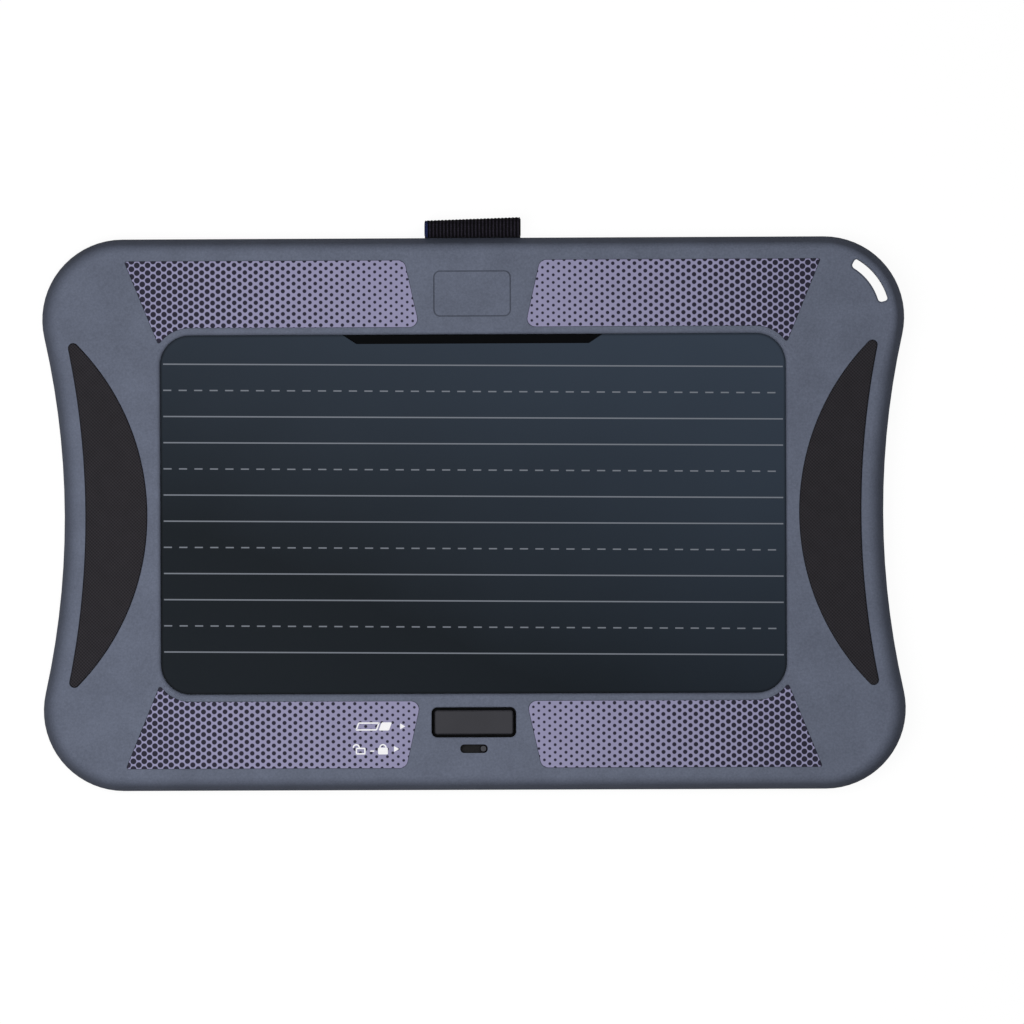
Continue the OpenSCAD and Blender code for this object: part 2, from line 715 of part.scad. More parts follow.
module rear_cover() {
    color("darkslategray") difference() {
        union() {
            shell() rear_section();
            for (p = case_posts) post(p.x, p.y, wall / 2, case_post_r, parting_z - wall / 2);
            plate(slot_outline(slot_wall, 1), wall / 2, parting_z - wall / 2);
            for (i = [0:rib_count - 1])
                box((i - (rib_count - 1) / 2) * rib_pitch, 0, wall / 2,
                    [rib_t, 2 * rib_reach, backer_z - wall / 2]);
            for (y = [-1:1])
                box(0, y * cross_rib_y, wall / 2, [cross_rib_w, rib_t, cross_rib_z - wall / 2]);
            translate(cell_pos)
                plate(round_rect(door_w + 2 * (slide_gap + ledge_wall), door_h + 2 * (slide_gap + ledge_wall),
                    door_r + slide_gap + ledge_wall), wall / 2, ledge_top - wall / 2);
            for (x = [-1, 1])
                post(cell_pos.x + x * door_screw_x, cell_pos.y, ledge_z, door_boss_r,
                    door_boss_top - ledge_z);
            box(0, clamp_y, wall / 2, [clamp_w, clamp_d, pad_top - wall / 2]);
            for (x = [-1, 1])
                post(x * clamp_screw_x, clamp_y, wall / 2, clamp_post_r, clamp_z - face_gap - wall / 2);
        }
        for (p = case_posts) {
            post(p.x, p.y, -cut, case_head_r + seat_gap, case_seat_z + cut);
            post(p.x, p.y, 0, case_screw_r + 2 * seat_gap, parting_z + cut);
        }
        loft(
            [slot_outline(0, 1), slot_outline(0, 1), slot_outline(0)],
            [-cut, 0, case_t - slot_bevel],
            2 * arc_steps
        );
        translate(cell_pos) {
            plate(round_rect(door_w + 2 * slide_gap, door_h + 2 * slide_gap, door_r + slide_gap), -cut,
                ledge_z + cut);
            box(0, 0, 0, [ledge_open.x, ledge_open.y, parting_z]);
        }
        for (x = [-1, 1]) {
            post(cell_pos.x + x * door_screw_x, cell_pos.y, 0, small_screw_r + screw_gap,
                door_boss_top - screw_end_gap);
            post(x * clamp_screw_x, clamp_y, clamp_z - clamp_screw_l - screw_end_gap,
                small_screw_r + screw_gap, clamp_screw_l + screw_end_gap + cut);
        }
        box(tail_x, 0, tail_z - slide_gap, [tail_w + 2 * slide_gap, screen_h, tail_t + slide_gap + cut]);
        box(0, case_h / 2, pad_top, [loop_w + 2 * loop_slot_gap, loop_slot_d, tail_pair_t + lip_h + cut]);
    }
}

module ruled_film() {
    color("darkslategray") difference() {
        plate(round_rect(screen_w, screen_h, screen_r), film_z, film_t);
        plate(notch_outline(0), film_z - cut, film_t + 2 * cut);
    }
}

module lcd_panel() {
    color("midnightblue") difference() {
        plate(round_rect(screen_w, screen_h, screen_r), lcd_z, lcd_t);
        plate(notch_outline(0), lcd_z - cut, lcd_t + 2 * cut);
    }
}

module lcd_backer() {
    color("black") plate(round_rect(screen_w, screen_h, screen_r), backer_z, backer_t);
}

module lcd_gasket() {
    open_w = window_w + 2 * gasket_inset;
    open_h = window_h + 2 * gasket_inset;
    color("dimgray") difference() {
        plate(round_rect(screen_w, screen_h, screen_r), gasket_z, gasket_t);
        plate(round_rect(open_w, open_h, window_r + gasket_inset), gasket_z - cut, gasket_t + 2 * cut);
    }
}

// Black contact pad in the notch, with a tail that folds over the backer's edge and runs behind it
module lcd_flex_tail() {
    end_y = connector_y + connector_h / 2 - tail_in;
    color([0.06, 0.06, 0.07]) {
        plate(notch_outline(-slide_gap), lcd_z, tail_t);
        box(tail_x, fold_y + tail_t / 2, tail_z, [tail_w, tail_t, lcd_z + tail_t - tail_z]);
        translate([tail_x - tail_w / 2, end_y, tail_z]) cube([tail_w, fold_y - end_y + tail_t, tail_t]);
    }
}

module circuit_board() {
    color("darkgreen") difference() {
        translate([board_x, board_y, 0])
            plate(round_rect(board_w, board_h, board_r), board_z - board_t, board_t);
        for (x = [-1, 1], y = [-1, 1])
            post(board_x + x * board_post.x, board_y + y * board_post.y, board_z - board_t - cut,
                board_hole_r, board_t + 2 * cut);
    }
}

module flex_connector() {
    top = tail_z + tail_t + connector_roof;
    mouth_y = connector_y + connector_h / 2 - tail_in - face_gap;
    color("ivory") difference() {
        box(tail_x, connector_y, board_z, [connector_w, connector_h, top - board_z]);
        translate([tail_x - tail_w / 2 - face_gap, mouth_y, tail_z - face_gap])
            cube([tail_w + 2 * face_gap, tail_in + face_gap + cut, tail_t + 2 * face_gap]);
    }
}

// Driver chip with its two rows of legs, and a row of small parts
module board_components() {
    chip = [5, 4, 1.5];
    chip_at = [-30, board_y - 6];
    leg = [0.4, 1, 0.3];
    leg_pitch = 1.27;
    leg_in = 0.1;
    passive = [1.6, 0.8, 0.7];
    passive_at = [-20, board_y - 9];
    passive_pitch = 3;
    passive_count = 5;
    color("black") {
        box(chip_at.x, chip_at.y, board_z, chip);
        for (i = [-1.5:1.5], y = [-1, 1])
            box(chip_at.x + i * leg_pitch, chip_at.y + y * (chip.y / 2 + leg.y / 2 - leg_in), board_z, leg);
    }
    color("tan") for (i = [0:passive_count - 1])
        box(passive_at.x + i * passive_pitch, passive_at.y, board_z, passive);
}

module board_screws() {
    head_r = 1.9;
    head_t = 1.1;
    color("silver") translate([board_x, board_y, board_z - board_t - head_t]) for (x = [-1, 1], y = [-1, 1]) {
        post(x * board_post.x, y * board_post.y, 0, head_r, head_t);
        post(x * board_post.x, y * board_post.y, head_t / 2, small_screw_r,
            head_t / 2 + board_t + board_screw_l);
    }
}

module erase_button() {
    color("dimgray") translate([0, -button_drop, 0]) {
        loft([
            round_rect(button_w, button_h, button_r),
            round_rect(button_w, button_h, button_r),
            round_rect(button_w - 2 * button_bevel, button_h - 2 * button_bevel, button_r - button_bevel)
        ], [flange_z - button_flange_t / 2, button_z - button_bevel, button_z]);
        plate(round_rect(flange_w, flange_h, button_r + button_gap), flange_z - button_flange_t,
            button_flange_t);
        post(0, 0, push_z, plunger_r + push_wall, flange_z - push_z - button_flange_t / 2);
    }
}

module erase_plunger() {
    color("black") post(0, -button_drop, push_z - plunger_l, plunger_r, plunger_l);
}

module erase_switch() {
    well_z = push_z - plunger_l - button_travel - switch_well_gap;
    color("gray") difference() {
        box(0, -button_drop, board_z, [switch_w, switch_w, switch_top - board_z]);
        post(0, -button_drop, well_z, plunger_r + screw_gap, case_t);
    }
}

module lock_knob() {
    top = case_t - lock_sink;
    face_w = lock_knob_w - 2 * knob_bevel;
    face_h = knob_h - 2 * knob_bevel;
    socket = lever_w + 2 * face_gap;
    socket_z = flange_z - knob_flange_t;
    color("dimgray") translate([knob_rest_x, -lock_drop, 0]) difference() {
        union() {
            loft([
                round_rect(lock_knob_w, knob_h, pill * knob_h),
                round_rect(lock_knob_w, knob_h, pill * knob_h),
                round_rect(face_w, face_h, pill * face_h)
            ], [flange_z - knob_flange_t / 2, top - knob_bevel, top]);
            plate(round_rect(knob_flange_w, knob_flange_h, knob_flange_r), socket_z, knob_flange_t);
        }
        box(0, 0, socket_z - cut, [socket, socket, lever_top + face_gap - socket_z + cut]);
    }
}

module lock_lever() {
    color("black") box(knob_rest_x, -lock_drop, lever_foot, [lever_w, lever_w, lever_top - lever_foot]);
}

module lock_switch() {
    color("silver") difference() {
        box(0, -lock_drop, board_z, [lock_switch_w, lock_switch_h, lock_switch_top - board_z]);
        box(0, -lock_drop, lever_foot - face_gap,
            [lever_w + lock_travel + 2 * slide_gap, lever_w + 2 * face_gap, case_t]);
    }
}

module battery_holder() {
    top = board_z - board_t;
    color("black") translate(cell_pos) difference() {
        post(0, 0, ledge_top + face_gap, holder_r, top - ledge_top - face_gap);
        post(0, 0, 0, holder_pocket_r, holder_base_z);
        box(0, -holder_r, 0, [clip_w + 2 * face_gap, 2 * (holder_wall + clip_t), holder_base_z]);
    }
}

module coin_cell() {
    color("silver") translate(cell_pos) {
        post(0, 0, cell_floor, cell_d / 2, cell_t - cell_rim);
        post(0, 0, cell_floor, cell_d / 2 - cell_cap_inset, cell_t);
    }
}

module battery_contacts() {
    color("goldenrod") translate(cell_pos) {
        box(0, 0, cell_top, leaf);
        box(0, -holder_pocket_r - clip_t / 2, ledge_top + slide_gap,
            [clip_w, clip_t, holder_base_z - ledge_top - slide_gap - face_gap]);
    }
}

module battery_door() {
    sink_gap = 0.2;
    sink_r = door_head_r + sink_gap;
    pad_inset = 2;
    pull = [12, 1.2, 0.4];
    pull_pitch = 3;
    color("darkslategray") translate(cell_pos) difference() {
        union() {
            plate(round_rect(door_w, door_h, door_r), 0, floor_z);
            post(0, 0, floor_z / 2, cell_d / 2 - pad_inset, cell_floor - face_gap - floor_z / 2);
        }
        for (x = [-1, 1]) {
            post(x * door_screw_x, 0, -cut, sink_r, door_screw_seat + cut);
            post(x * door_screw_x, 0, 0, small_screw_r + seat_gap, floor_z + cut);
        }
        for (y = [-1:1]) box(0, y * pull_pitch, -cut, [pull.x, pull.y, pull.z + cut]);
    }
}

module door_screws() {
    head_t = 1.1;
    root = door_screw_seat - head_t / 2;
    color("silver") for (x = [-1, 1]) translate([cell_pos.x + x * door_screw_x, cell_pos.y, 0]) {
        post(0, 0, door_screw_seat - head_t, door_head_r, head_t);
        post(0, 0, root, small_screw_r, door_boss_top - 2 * screw_end_gap - root);
    }
}

// Crescent with its top edge rounded in a few steps
module grip() {
    foot = case_t - grip_recess;
    shoulder = foot + grip_t - grip_round;
    turns = [0, 30, 60, 90];
    color([0.15, 0.15, 0.16])
        loft(
            concat([grip_outline(0)], [for (a = turns) grip_outline(-grip_round * (1 - cos(a)))]),
            concat([foot], [for (a = turns) shoulder + grip_round * sin(a)]),
            long_arc_steps + arc_steps / 2
        );
}

module grip_left() {
    mirror([1, 0, 0]) grip();
}

module grip_right() {
    grip();
}

module panel() {
    color([0.56, 0.54, 0.67]) plate(panel_outline(0), case_t - panel_recess, panel_t);
}

module panel_top_left() {
    mirror([1, 0, 0]) panel();
}

module panel_top_right() {
    panel();
}

module panel_bottom_left() {
    mirror([1, 0, 0]) mirror([0, 1, 0]) panel();
}

module panel_bottom_right() {
    mirror([0, 1, 0]) panel();
}

// Webbing folded to a loop along the top edge, with both tails held in the case
module pen_loop() {
    loop_y = (loop_foot + loop_top) / 2;
    inner = [loop_depth - 2 * loop_t, loop_h - 2 * loop_t];
    color([0.06, 0.06, 0.07]) translate([-loop_w / 2, 0, parting_z])
        rotate([90, 0, 90]) linear_extrude(loop_w) {
            translate([loop_y, 0]) difference() {
                polygon(round_rect(loop_depth, loop_h, loop_r));
                polygon(round_rect(inner.x, inner.y, loop_r - loop_t));
            }
            translate([case_h / 2 - loop_tail, -tail_pair_t / 2]) square([loop_tail + loop_t, tail_pair_t]);
        }
}

module loop_clamp() {
    color("black") difference() {
        box(0, clamp_y, clamp_z, [clamp_w, clamp_d, clamp_t]);
        for (x = [-1, 1])
            post(x * clamp_screw_x, clamp_y, clamp_z - cut, small_screw_r + seat_gap, clamp_t + 2 * cut);
    }
}

module clamp_screws() {
    head_r = 1.8;
    head_t = 1;
    color("silver") for (x = [-1, 1]) translate([x * clamp_screw_x, clamp_y, 0]) {
        post(0, 0, clamp_z + clamp_t, head_r, head_t);
        post(0, 0, clamp_z - clamp_screw_l, small_screw_r, clamp_screw_l + clamp_t + head_t / 2);
    }
}

module case_screws() {
    color("silver") for (p = case_posts) {
        post(p.x, p.y, case_seat_z - case_head_t, case_head_r, case_head_t);
        post(p.x, p.y, case_seat_z - case_head_t / 2, case_screw_r,
            case_screw_top - case_seat_z + case_head_t / 2);
    }
}

front_bezel();
rear_cover();
ruled_film();
lcd_panel();
lcd_backer();
lcd_gasket();
lcd_flex_tail();
circuit_board();
flex_connector();
board_components();
board_screws();
erase_button();
erase_plunger();
erase_switch();
lock_knob();
lock_lever();
lock_switch();
battery_holder();
coin_cell();
battery_contacts();
battery_door();
door_screws();
grip_left();
grip_right();
panel_top_left();
panel_top_right();
panel_bottom_left();
panel_bottom_right();
pen_loop();
loop_clamp();
clamp_screws();
case_screws();
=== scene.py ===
"""Looks for an LCD writing tablet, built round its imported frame.

The frame's solids keep their place and size. This add-on gives each one its finish, remakes the pieces
that need a finer mesh, prints the screen, the trim and the control marks, and sets up a plain studio.
"""

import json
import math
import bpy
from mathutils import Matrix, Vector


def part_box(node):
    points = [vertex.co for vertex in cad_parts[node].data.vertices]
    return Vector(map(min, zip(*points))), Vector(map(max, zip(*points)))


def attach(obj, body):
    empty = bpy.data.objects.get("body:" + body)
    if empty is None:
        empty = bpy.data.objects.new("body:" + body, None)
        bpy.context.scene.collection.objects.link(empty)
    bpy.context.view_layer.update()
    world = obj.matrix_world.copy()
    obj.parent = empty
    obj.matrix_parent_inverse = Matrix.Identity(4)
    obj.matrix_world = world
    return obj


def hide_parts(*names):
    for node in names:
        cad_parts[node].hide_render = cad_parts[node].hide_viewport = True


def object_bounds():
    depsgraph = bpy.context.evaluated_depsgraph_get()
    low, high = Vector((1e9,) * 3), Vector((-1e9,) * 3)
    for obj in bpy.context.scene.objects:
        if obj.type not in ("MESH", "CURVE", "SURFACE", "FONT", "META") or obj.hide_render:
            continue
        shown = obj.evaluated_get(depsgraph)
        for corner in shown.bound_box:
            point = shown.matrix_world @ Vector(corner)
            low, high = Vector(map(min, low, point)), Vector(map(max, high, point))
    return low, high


bl_info = {
    "name": "LCD Writing Tablet",
    "version": (1, 0, 0),
    "blender": (4, 5, 0),
    "location": "View3D > Sidebar > Tablet",
    "description": "Finishes, fine pieces and a studio for an LCD writing tablet",
    "category": "Object",
}

from functools import partial

import bpy
from mathutils import Vector

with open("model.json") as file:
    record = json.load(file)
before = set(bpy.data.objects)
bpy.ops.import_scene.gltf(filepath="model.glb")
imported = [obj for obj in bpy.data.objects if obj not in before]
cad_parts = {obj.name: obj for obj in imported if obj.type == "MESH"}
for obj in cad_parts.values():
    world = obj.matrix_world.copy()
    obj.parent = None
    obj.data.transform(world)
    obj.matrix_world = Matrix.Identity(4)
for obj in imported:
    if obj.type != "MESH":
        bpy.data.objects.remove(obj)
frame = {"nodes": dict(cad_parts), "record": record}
cad_low, cad_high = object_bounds()

MM = 0.001
CASE = "case"
# Vertices closer than this are one vertex
MERGE = 0.002 * MM
# A point this close to a level lies on it
NEAR = 0.01 * MM
# Most values of a noise texture lie in this range
NOISE = {"From Min": 0.3, "From Max": 0.7}


def linear(code):
    """Linear colour of an sRGB hex code."""
    parts = [int(code[i : i + 2], 16) / 255 for i in (0, 2, 4)]
    return tuple(c / 12.92 if c <= 0.04045 else ((c + 0.055) / 1.055) ** 2.4 for c in parts)


def colour(name, description, code):
    """Colour setting that starts from an sRGB hex code."""
    return bpy.props.FloatVectorProperty(
        name=name, description=description, subtype="COLOR", size=3, min=0, max=1, default=linear(code)
    )


def number(name, description, value, **options):
    """Number setting."""
    return bpy.props.FloatProperty(name=name, description=description, default=value, **options)


def length(name, description, millimetres):
    """Length setting that starts from a size in millimetres."""
    return number(name, description, millimetres * MM, unit="LENGTH", precision=5)


def angle(name, description, degrees):
    """Angle setting that starts from degrees."""
    return number(name, description, math.radians(degrees), subtype="ANGLE")


class TabletColours(bpy.types.PropertyGroup):
    """Colours of the visible finishes"""

    bezel: colour("Bezel", "Slate blue of the front shell", "626878")
    cover: colour("Rear cover", "Darker slate of the rear shell and battery door", "4d5360")
    screen: colour("Screen", "Dark writing layer seen through the film", "151b21")
    # Painted reflection of the light on the film, paler towards the upper right
    screen_painted_reflection: colour("Screen glow", "Faint blue of the layer towards the upper right", "353f4c")
    rules: colour("Rules", "Ruled lines printed on the film", "767b84")
    panel: colour("Panel", "Lavender ground of the trim panels", "8f8cab")
    panel_net: colour("Panel net", "Paler ground left between the largest dots", "9290b0")
    dots: colour("Dots", "Dots of the trim panels", "232131")
    grip: colour("Grip", "Soft grips", "272529")
    control: colour("Controls", "Erase button and lock knob", "36363b")
    loop: colour("Pen loop", "Black elastic", "050407")
    # Painted highlight on the crowns of the ribs
    loop_rib_highlight: colour("Loop rib", "Worn crown of a rib in the elastic", "26232c")
    selvedge: colour("Selvedge", "Dark blue edge of the elastic", "1d2344")
    ink: colour("Ink", "White print of the control marks", "fbfbfd")


class TabletPrint(bpy.types.PropertyGroup):
    """Sizes of the patterns"""

    rule_top: length("First rule", "Height of the first rule above the middle of the screen", 54.65)
    rule_pitch: length("Rule spacing", "Distance from one rule to the next", 9.63)
    rule_tilt: angle("Rule tilt", "Turn of the print on the film, clockwise", 0.47)
    rule_width: length("Rule width", "Thickness of a rule", 0.48)
    rule_reach: length("Rule reach", "Distance from the middle of the screen to the ends of the rules", 114)
    rule_count: bpy.props.IntProperty(name="Rules", description="Number of rules", default=12, min=3)
    dash_on: length("Dash", "Length of a dash in the middle rules", 3.0)
    dash_off: length("Dash gap", "Gap between two dashes", 2.7)
    # The window's sizes shape the painted shadow of its lip on the film
    window_width: length("Window width", "Width of the opening that the film's dark border follows", 230.2)
    window_height: length("Window height", "Height of that opening", 132.1)
    window_corner: length("Window corner", "Radius of that opening's corners", 11)
    dot_pitch_x: length("Dot pitch across", "Distance between dots in a row", 3.98)
    dot_pitch_y: length("Dot pitch up", "Distance between every second row of dots", 2.785)
    dot_small: length("Small dot", "Diameter of the dots at the inner ends of the panels", 0.95)
    dot_large: length("Large dot", "Diameter of the dots at the outer ends of the panels", 2.18)
    grip_twill: length("Twill", "Spacing of the diagonal lines in the grips", 0.85)
    rib_pitch: length("Ribs", "Spacing of the ribs in the elastic", 1.3)


class TabletStudio(bpy.types.PropertyGroup):
    """Camera and light"""

    camera_place: bpy.props.FloatVectorProperty(
        name="Camera", description="Place of the camera", subtype="TRANSLATION", default=(0.12, 0.0, 4.0)
    )
    camera_turn: bpy.props.FloatVectorProperty(
        name="Camera turn",
        description="Turn of the camera away from straight down",
        subtype="EULER",
        default=(math.radians(0.003), math.radians(1.519), math.radians(-0.235)),
    )
    camera_angle: angle("Field of view", "Width of the view", 5.405)
    right_distance: length("Right distance", "Distance from the tablet to the large soft box", 1300)
    right_size: length("Right size", "Side of the large soft box", 900)
    right_power: number("Right power", "Power of the large soft box", 6.4, subtype="POWER", min=0)
    left_distance: length("Left distance", "Distance from the tablet to the small soft box", 640)
    left_size: length("Left size", "Side of the small soft box", 400)
    left_power: number("Left power", "Power of the small soft box", 3.0, subtype="POWER", min=0)
    sky: number("Sky", "Strength of the even light all round", 0.03, min=0)


def connect(node, inputs):
    """Sets or links inputs of a shader node."""
    for key, value in inputs.items():
        if isinstance(value, bpy.types.NodeSocket):
            node.id_data.links.new(value, node.inputs[key])
        else:
            node.inputs[key].default_value = value


def add_node(tree, kind, inputs, **options):
    """Adds a shader node with its options and inputs, and gives its first output in use."""
    node = tree.nodes.new("ShaderNode" + kind)
    for name, value in options.items():
        setattr(node, name, value)
    connect(node, inputs)
    return next(socket for socket in node.outputs if socket.enabled)


def new_finish(name, constants):
    """New material: a way to add nodes to it, its shader, and the place on the piece in millimetres."""
    finish = bpy.data.materials.new(name)
    finish.use_nodes = True
    add = partial(add_node, finish.node_tree)
    shader = finish.node_tree.nodes["Principled BSDF"]
    connect(shader, constants)
    place = add("TexCoord", {}).node.outputs["Object"]
    return finish, add, shader, add("VectorMath", {0: place, "Scale": 1 / MM}, operation="SCALE")


def shade(rgb, amount=1.0):
    """The colour as an opaque one, darker or lighter by an amount."""
    return (*(min(1.0, c * amount) for c in rgb[:3]), 1.0)


# Finishes


def moulded_plastic(name, rgb, grain_mm, depth_mm, roughness, mottle=0.05, gloss=0.12):
    """Moulded plastic or rubber: an etched grain breaks up the sheen, with a faint mottle from the flow."""
    flow_mm = 14
    grain_share = 0.6
    dark, pale = shade(rgb, 1 - mottle), shade(rgb, 1 + mottle)
    spread = {"To Min": roughness - 0.06, "To Max": roughness + 0.06}
    finish, add, shader, place = new_finish(name, {"IOR": 1.5, "Specular IOR Level": gloss})
    # The grain is drawn coarser than a real etch, so that it shows
    grain = add("TexNoise", {"Vector": place, "Scale": 1 / grain_mm, "Detail": 3.0})
    flow = add("TexNoise", {"Vector": place, "Scale": 1 / flow_mm, "Detail": 4.0})
    both = add("Mix", {"Factor": grain_share, "A": flow, "B": grain})
    tint = add("MapRange", {"Value": both, **NOISE})
    base = add("Mix", {"Factor": tint, "A": dark, "B": pale}, data_type="RGBA")
    rough = add("MapRange", {"Value": grain, **NOISE, **spread})
    bump = add("Bump", {"Height": grain, "Strength": 1.0, "Distance": depth_mm * MM})
    connect(shader, {"Base Color": base, "Roughness": rough, "Normal": bump})
    return finish


def plated_metal(name, rgb, roughness, grain_mm):
    """Plated or rolled metal: mirror-like, dulled by faint drawn lines and handling marks."""
    drawn_out = (1.0, 0.12, 1.0)
    finish, add, shader, place = new_finish(name, {"Metallic": 1.0})
    stretched = add("Mapping", {"Vector": place, "Scale": drawn_out})
    lines = add("TexNoise", {"Vector": stretched, "Scale": 1 / grain_mm, "Detail": 4.0})
    base = add("Mix", {"Factor": lines, "A": shade(rgb, 0.85), "B": shade(rgb, 1.1)}, data_type="RGBA")
    rough = add("MapRange", {"Value": lines, "To Min": roughness - 0.08, "To Max": roughness + 0.1})
    connect(shader, {"Base Color": base, "Roughness": rough})
    return finish


def rule_mask(add, axes, sizes):
    """One on the printed rules and nothing beside them. The middle one of each three rules is dashed."""
    blur = 0.2
    slant = math.tan(sizes.rule_tilt)
    height = add("Math", {0: axes["X"], 1: slant, 2: axes["Y"]}, operation="MULTIPLY_ADD")
    below = add("Math", {0: sizes.rule_top / MM, 1: height}, operation="SUBTRACT")
    steps = add("Math", {0: below, 1: sizes.rule_pitch / MM}, operation="DIVIDE")
    rule = add("Math", {0: steps}, operation="ROUND")
    off = add("Math", {0: steps, 1: rule}, operation="SUBTRACT")
    away = add("Math", {0: off}, operation="ABSOLUTE")
    half = sizes.rule_width / sizes.rule_pitch / 2
    edge = {"From Min": half * (1 - blur), "From Max": half * (1 + blur)}
    mask = add("MapRange", {"Value": away, **edge, "To Min": 1.0, "To Max": 0.0})
    first = add("Math", {0: rule, 1: -0.5}, operation="GREATER_THAN")
    last = add("Math", {0: rule, 1: sizes.rule_count - 0.5}, operation="LESS_THAN")
    side = add("Math", {0: axes["X"]}, operation="ABSOLUTE")
    within = add("Math", {0: side, 1: sizes.rule_reach / MM}, operation="LESS_THAN")
    third = add("Math", {0: rule, 1: 3.0}, operation="MODULO")
    middle = add("Math", {0: third, 1: 1.0, 2: 0.1}, operation="COMPARE")
    whole = add("Math", {0: 1.0, 1: middle}, operation="SUBTRACT")
    period = (sizes.dash_on + sizes.dash_off) / MM
    along = add("Math", {0: axes["X"], 1: period}, operation="DIVIDE")
    part = add("Math", {0: along}, operation="FRACT")
    dash = add("Math", {0: part, 1: sizes.dash_on / MM / period}, operation="LESS_THAN")
    inked = add("Math", {0: whole, 1: dash}, operation="MAXIMUM")
    for limit in (first, last, within, inked):
        mask = add("Math", {0: mask, 1: limit}, operation="MULTIPLY")
    return mask


def painted_lip_shadow(add, axes, sizes):
    """Painted shadow that the window's lip casts on the film: a dark border that follows the window and its
    round corners.
    """
    legs = []
    for axis, reach in (("X", sizes.window_width / 2), ("Y", sizes.window_height / 2)):
        away = add("Math", {0: axes[axis]}, operation="ABSOLUTE")
        straight = (reach - sizes.window_corner) / MM
        past = add("Math", {0: away, 1: straight}, operation="SUBTRACT")
        legs.append(add("Math", {0: past, 1: 0.0}, operation="MAXIMUM"))
    corner = add("CombineXYZ", {"X": legs[0], "Y": legs[1]})
    reach = add("VectorMath", {0: corner}, operation="LENGTH")
    radius = sizes.window_corner / MM
    band = {"From Min": radius - 1.0, "From Max": radius - 0.3}
    return add("MapRange", {"Value": reach, **band, "To Min": 1.0, "To Max": 0.65})


def ruled_film_finish(colours, sizes):
    """Clear polyester film over dark liquid crystal: a satin face, grey rules, a painted reflection that
    grows paler towards the upper right with a slow cloudy waver, and a painted shadow along the window's
    lip.
    """
    cloud_mm, waver_mm, satin_mm = 60, 30, 0.5
    # Painted reflection: the layer grows paler upwards and a little to the right, with a cloudy waver
    lean = 0.4
    dark_mm, pale_mm = -35, 115
    satin_face = {"IOR": 1.33, "Specular IOR Level": 0.04}
    finish, add, shader, place = new_finish("polyester_film_ruled", satin_face)
    axes = add("SeparateXYZ", {0: place}).node.outputs
    cloud = add("TexNoise", {"Vector": place, "Scale": 1 / cloud_mm, "Detail": 3.0})
    drift = add("Math", {0: axes["X"], 1: lean, 2: axes["Y"]}, operation="MULTIPLY_ADD")
    drift = add("Math", {0: cloud, 1: waver_mm, 2: drift}, operation="MULTIPLY_ADD")
    glow = add("MapRange", {"Value": drift, "From Min": dark_mm, "From Max": pale_mm})
    dark, pale = shade(colours.screen), shade(colours.screen_painted_reflection)
    depth = add("Mix", {"Factor": glow, "A": dark, "B": pale}, data_type="RGBA")
    mask = rule_mask(add, axes, sizes)
    ruled = add("Mix", {"Factor": mask, "A": depth, "B": shade(colours.rules)}, data_type="RGBA")
    # Painted shadow of the window's lip along the film's edge
    border = painted_lip_shadow(add, axes, sizes)
    base = add("HueSaturation", {"Color": ruled, "Value": border})
    satin = add("TexNoise", {"Vector": place, "Scale": 1 / satin_mm, "Detail": 2.0})
    rough = add("MapRange", {"Value": satin, **NOISE, "To Min": 0.26, "To Max": 0.36})
    connect(shader, {"Base Color": base, "Roughness": rough})
    return finish


def dot_distance(add, axes, sizes):
    """Distance to the middle of the nearest dot, in millimetres. The rows of dots are staggered."""
    distances = []
    for shift in (0.0, 0.5):
        legs = []
        for axis, pitch in (("X", sizes.dot_pitch_x / MM), ("Y", sizes.dot_pitch_y / MM)):
            away = add("Math", {0: axes[axis]}, operation="ABSOLUTE")
            cell = add("Math", {0: away, 1: 1 / pitch, 2: shift}, operation="MULTIPLY_ADD")
            part = add("Math", {0: cell}, operation="FRACT")
            leg = add("Math", {0: part, 1: 0.5}, operation="SUBTRACT")
            legs.append(add("Math", {0: leg, 1: pitch}, operation="MULTIPLY"))
        offset = add("CombineXYZ", {"X": legs[0], "Y": legs[1]})
        distances.append(add("VectorMath", {0: offset}, operation="LENGTH"))
    return add("Math", {0: distances[0], 1: distances[1]}, operation="MINIMUM")


def dotted_panel_finish(colours, sizes):
    """Printed polycarbonate: lavender, with slightly sunk dark dots that swell to the outer ends."""
    blur_mm, sunk_mm, cloud_mm = 0.12, 0.08, 6
    # The ground grows paler from this distance to the outer end
    fade_mm = 70
    finish, add, shader, place = new_finish(
        "polycarbonate_dotted", {"IOR": 1.55, "Specular IOR Level": 0.06, "Roughness": 0.5}
    )
    axes = add("SeparateXYZ", {0: place}).node.outputs
    side = add("Math", {0: axes["X"]}, operation="ABSOLUTE")
    inner_mm, outer_mm = (end.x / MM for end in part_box("panel_top_right"))
    ends = {"From Min": inner_mm, "From Max": outer_mm}
    swell = {"To Min": sizes.dot_small / MM / 2, "To Max": sizes.dot_large / MM / 2}
    radius = add("MapRange", {"Value": side, **ends, **swell})
    past = add("Math", {0: dot_distance(add, axes, sizes), 1: radius}, operation="SUBTRACT")
    edge = {"From Min": -blur_mm, "From Max": blur_mm, "To Min": 1.0, "To Max": 0.0}
    dot = add("MapRange", {"Value": past, **edge}, interpolation_type="SMOOTHSTEP")
    fade = add("MapRange", {"Value": side, "From Min": fade_mm, "From Max": outer_mm})
    plain, net = shade(colours.panel), shade(colours.panel_net)
    ground = add("Mix", {"Factor": fade, "A": plain, "B": net}, data_type="RGBA")
    cloud = add("TexNoise", {"Vector": place, "Scale": 1 / cloud_mm, "Detail": 4.0})
    value = add("MapRange", {"Value": cloud, "To Min": 0.93, "To Max": 1.07})
    printed = add("HueSaturation", {"Color": ground, "Value": value})
    base = add("Mix", {"Factor": dot, "A": printed, "B": shade(colours.dots)}, data_type="RGBA")
    sunk = add("Bump", {"Height": dot, "Strength": 0.5, "Distance": sunk_mm * MM}, invert=True)
    connect(shader, {"Base Color": base, "Normal": sunk})
    return finish


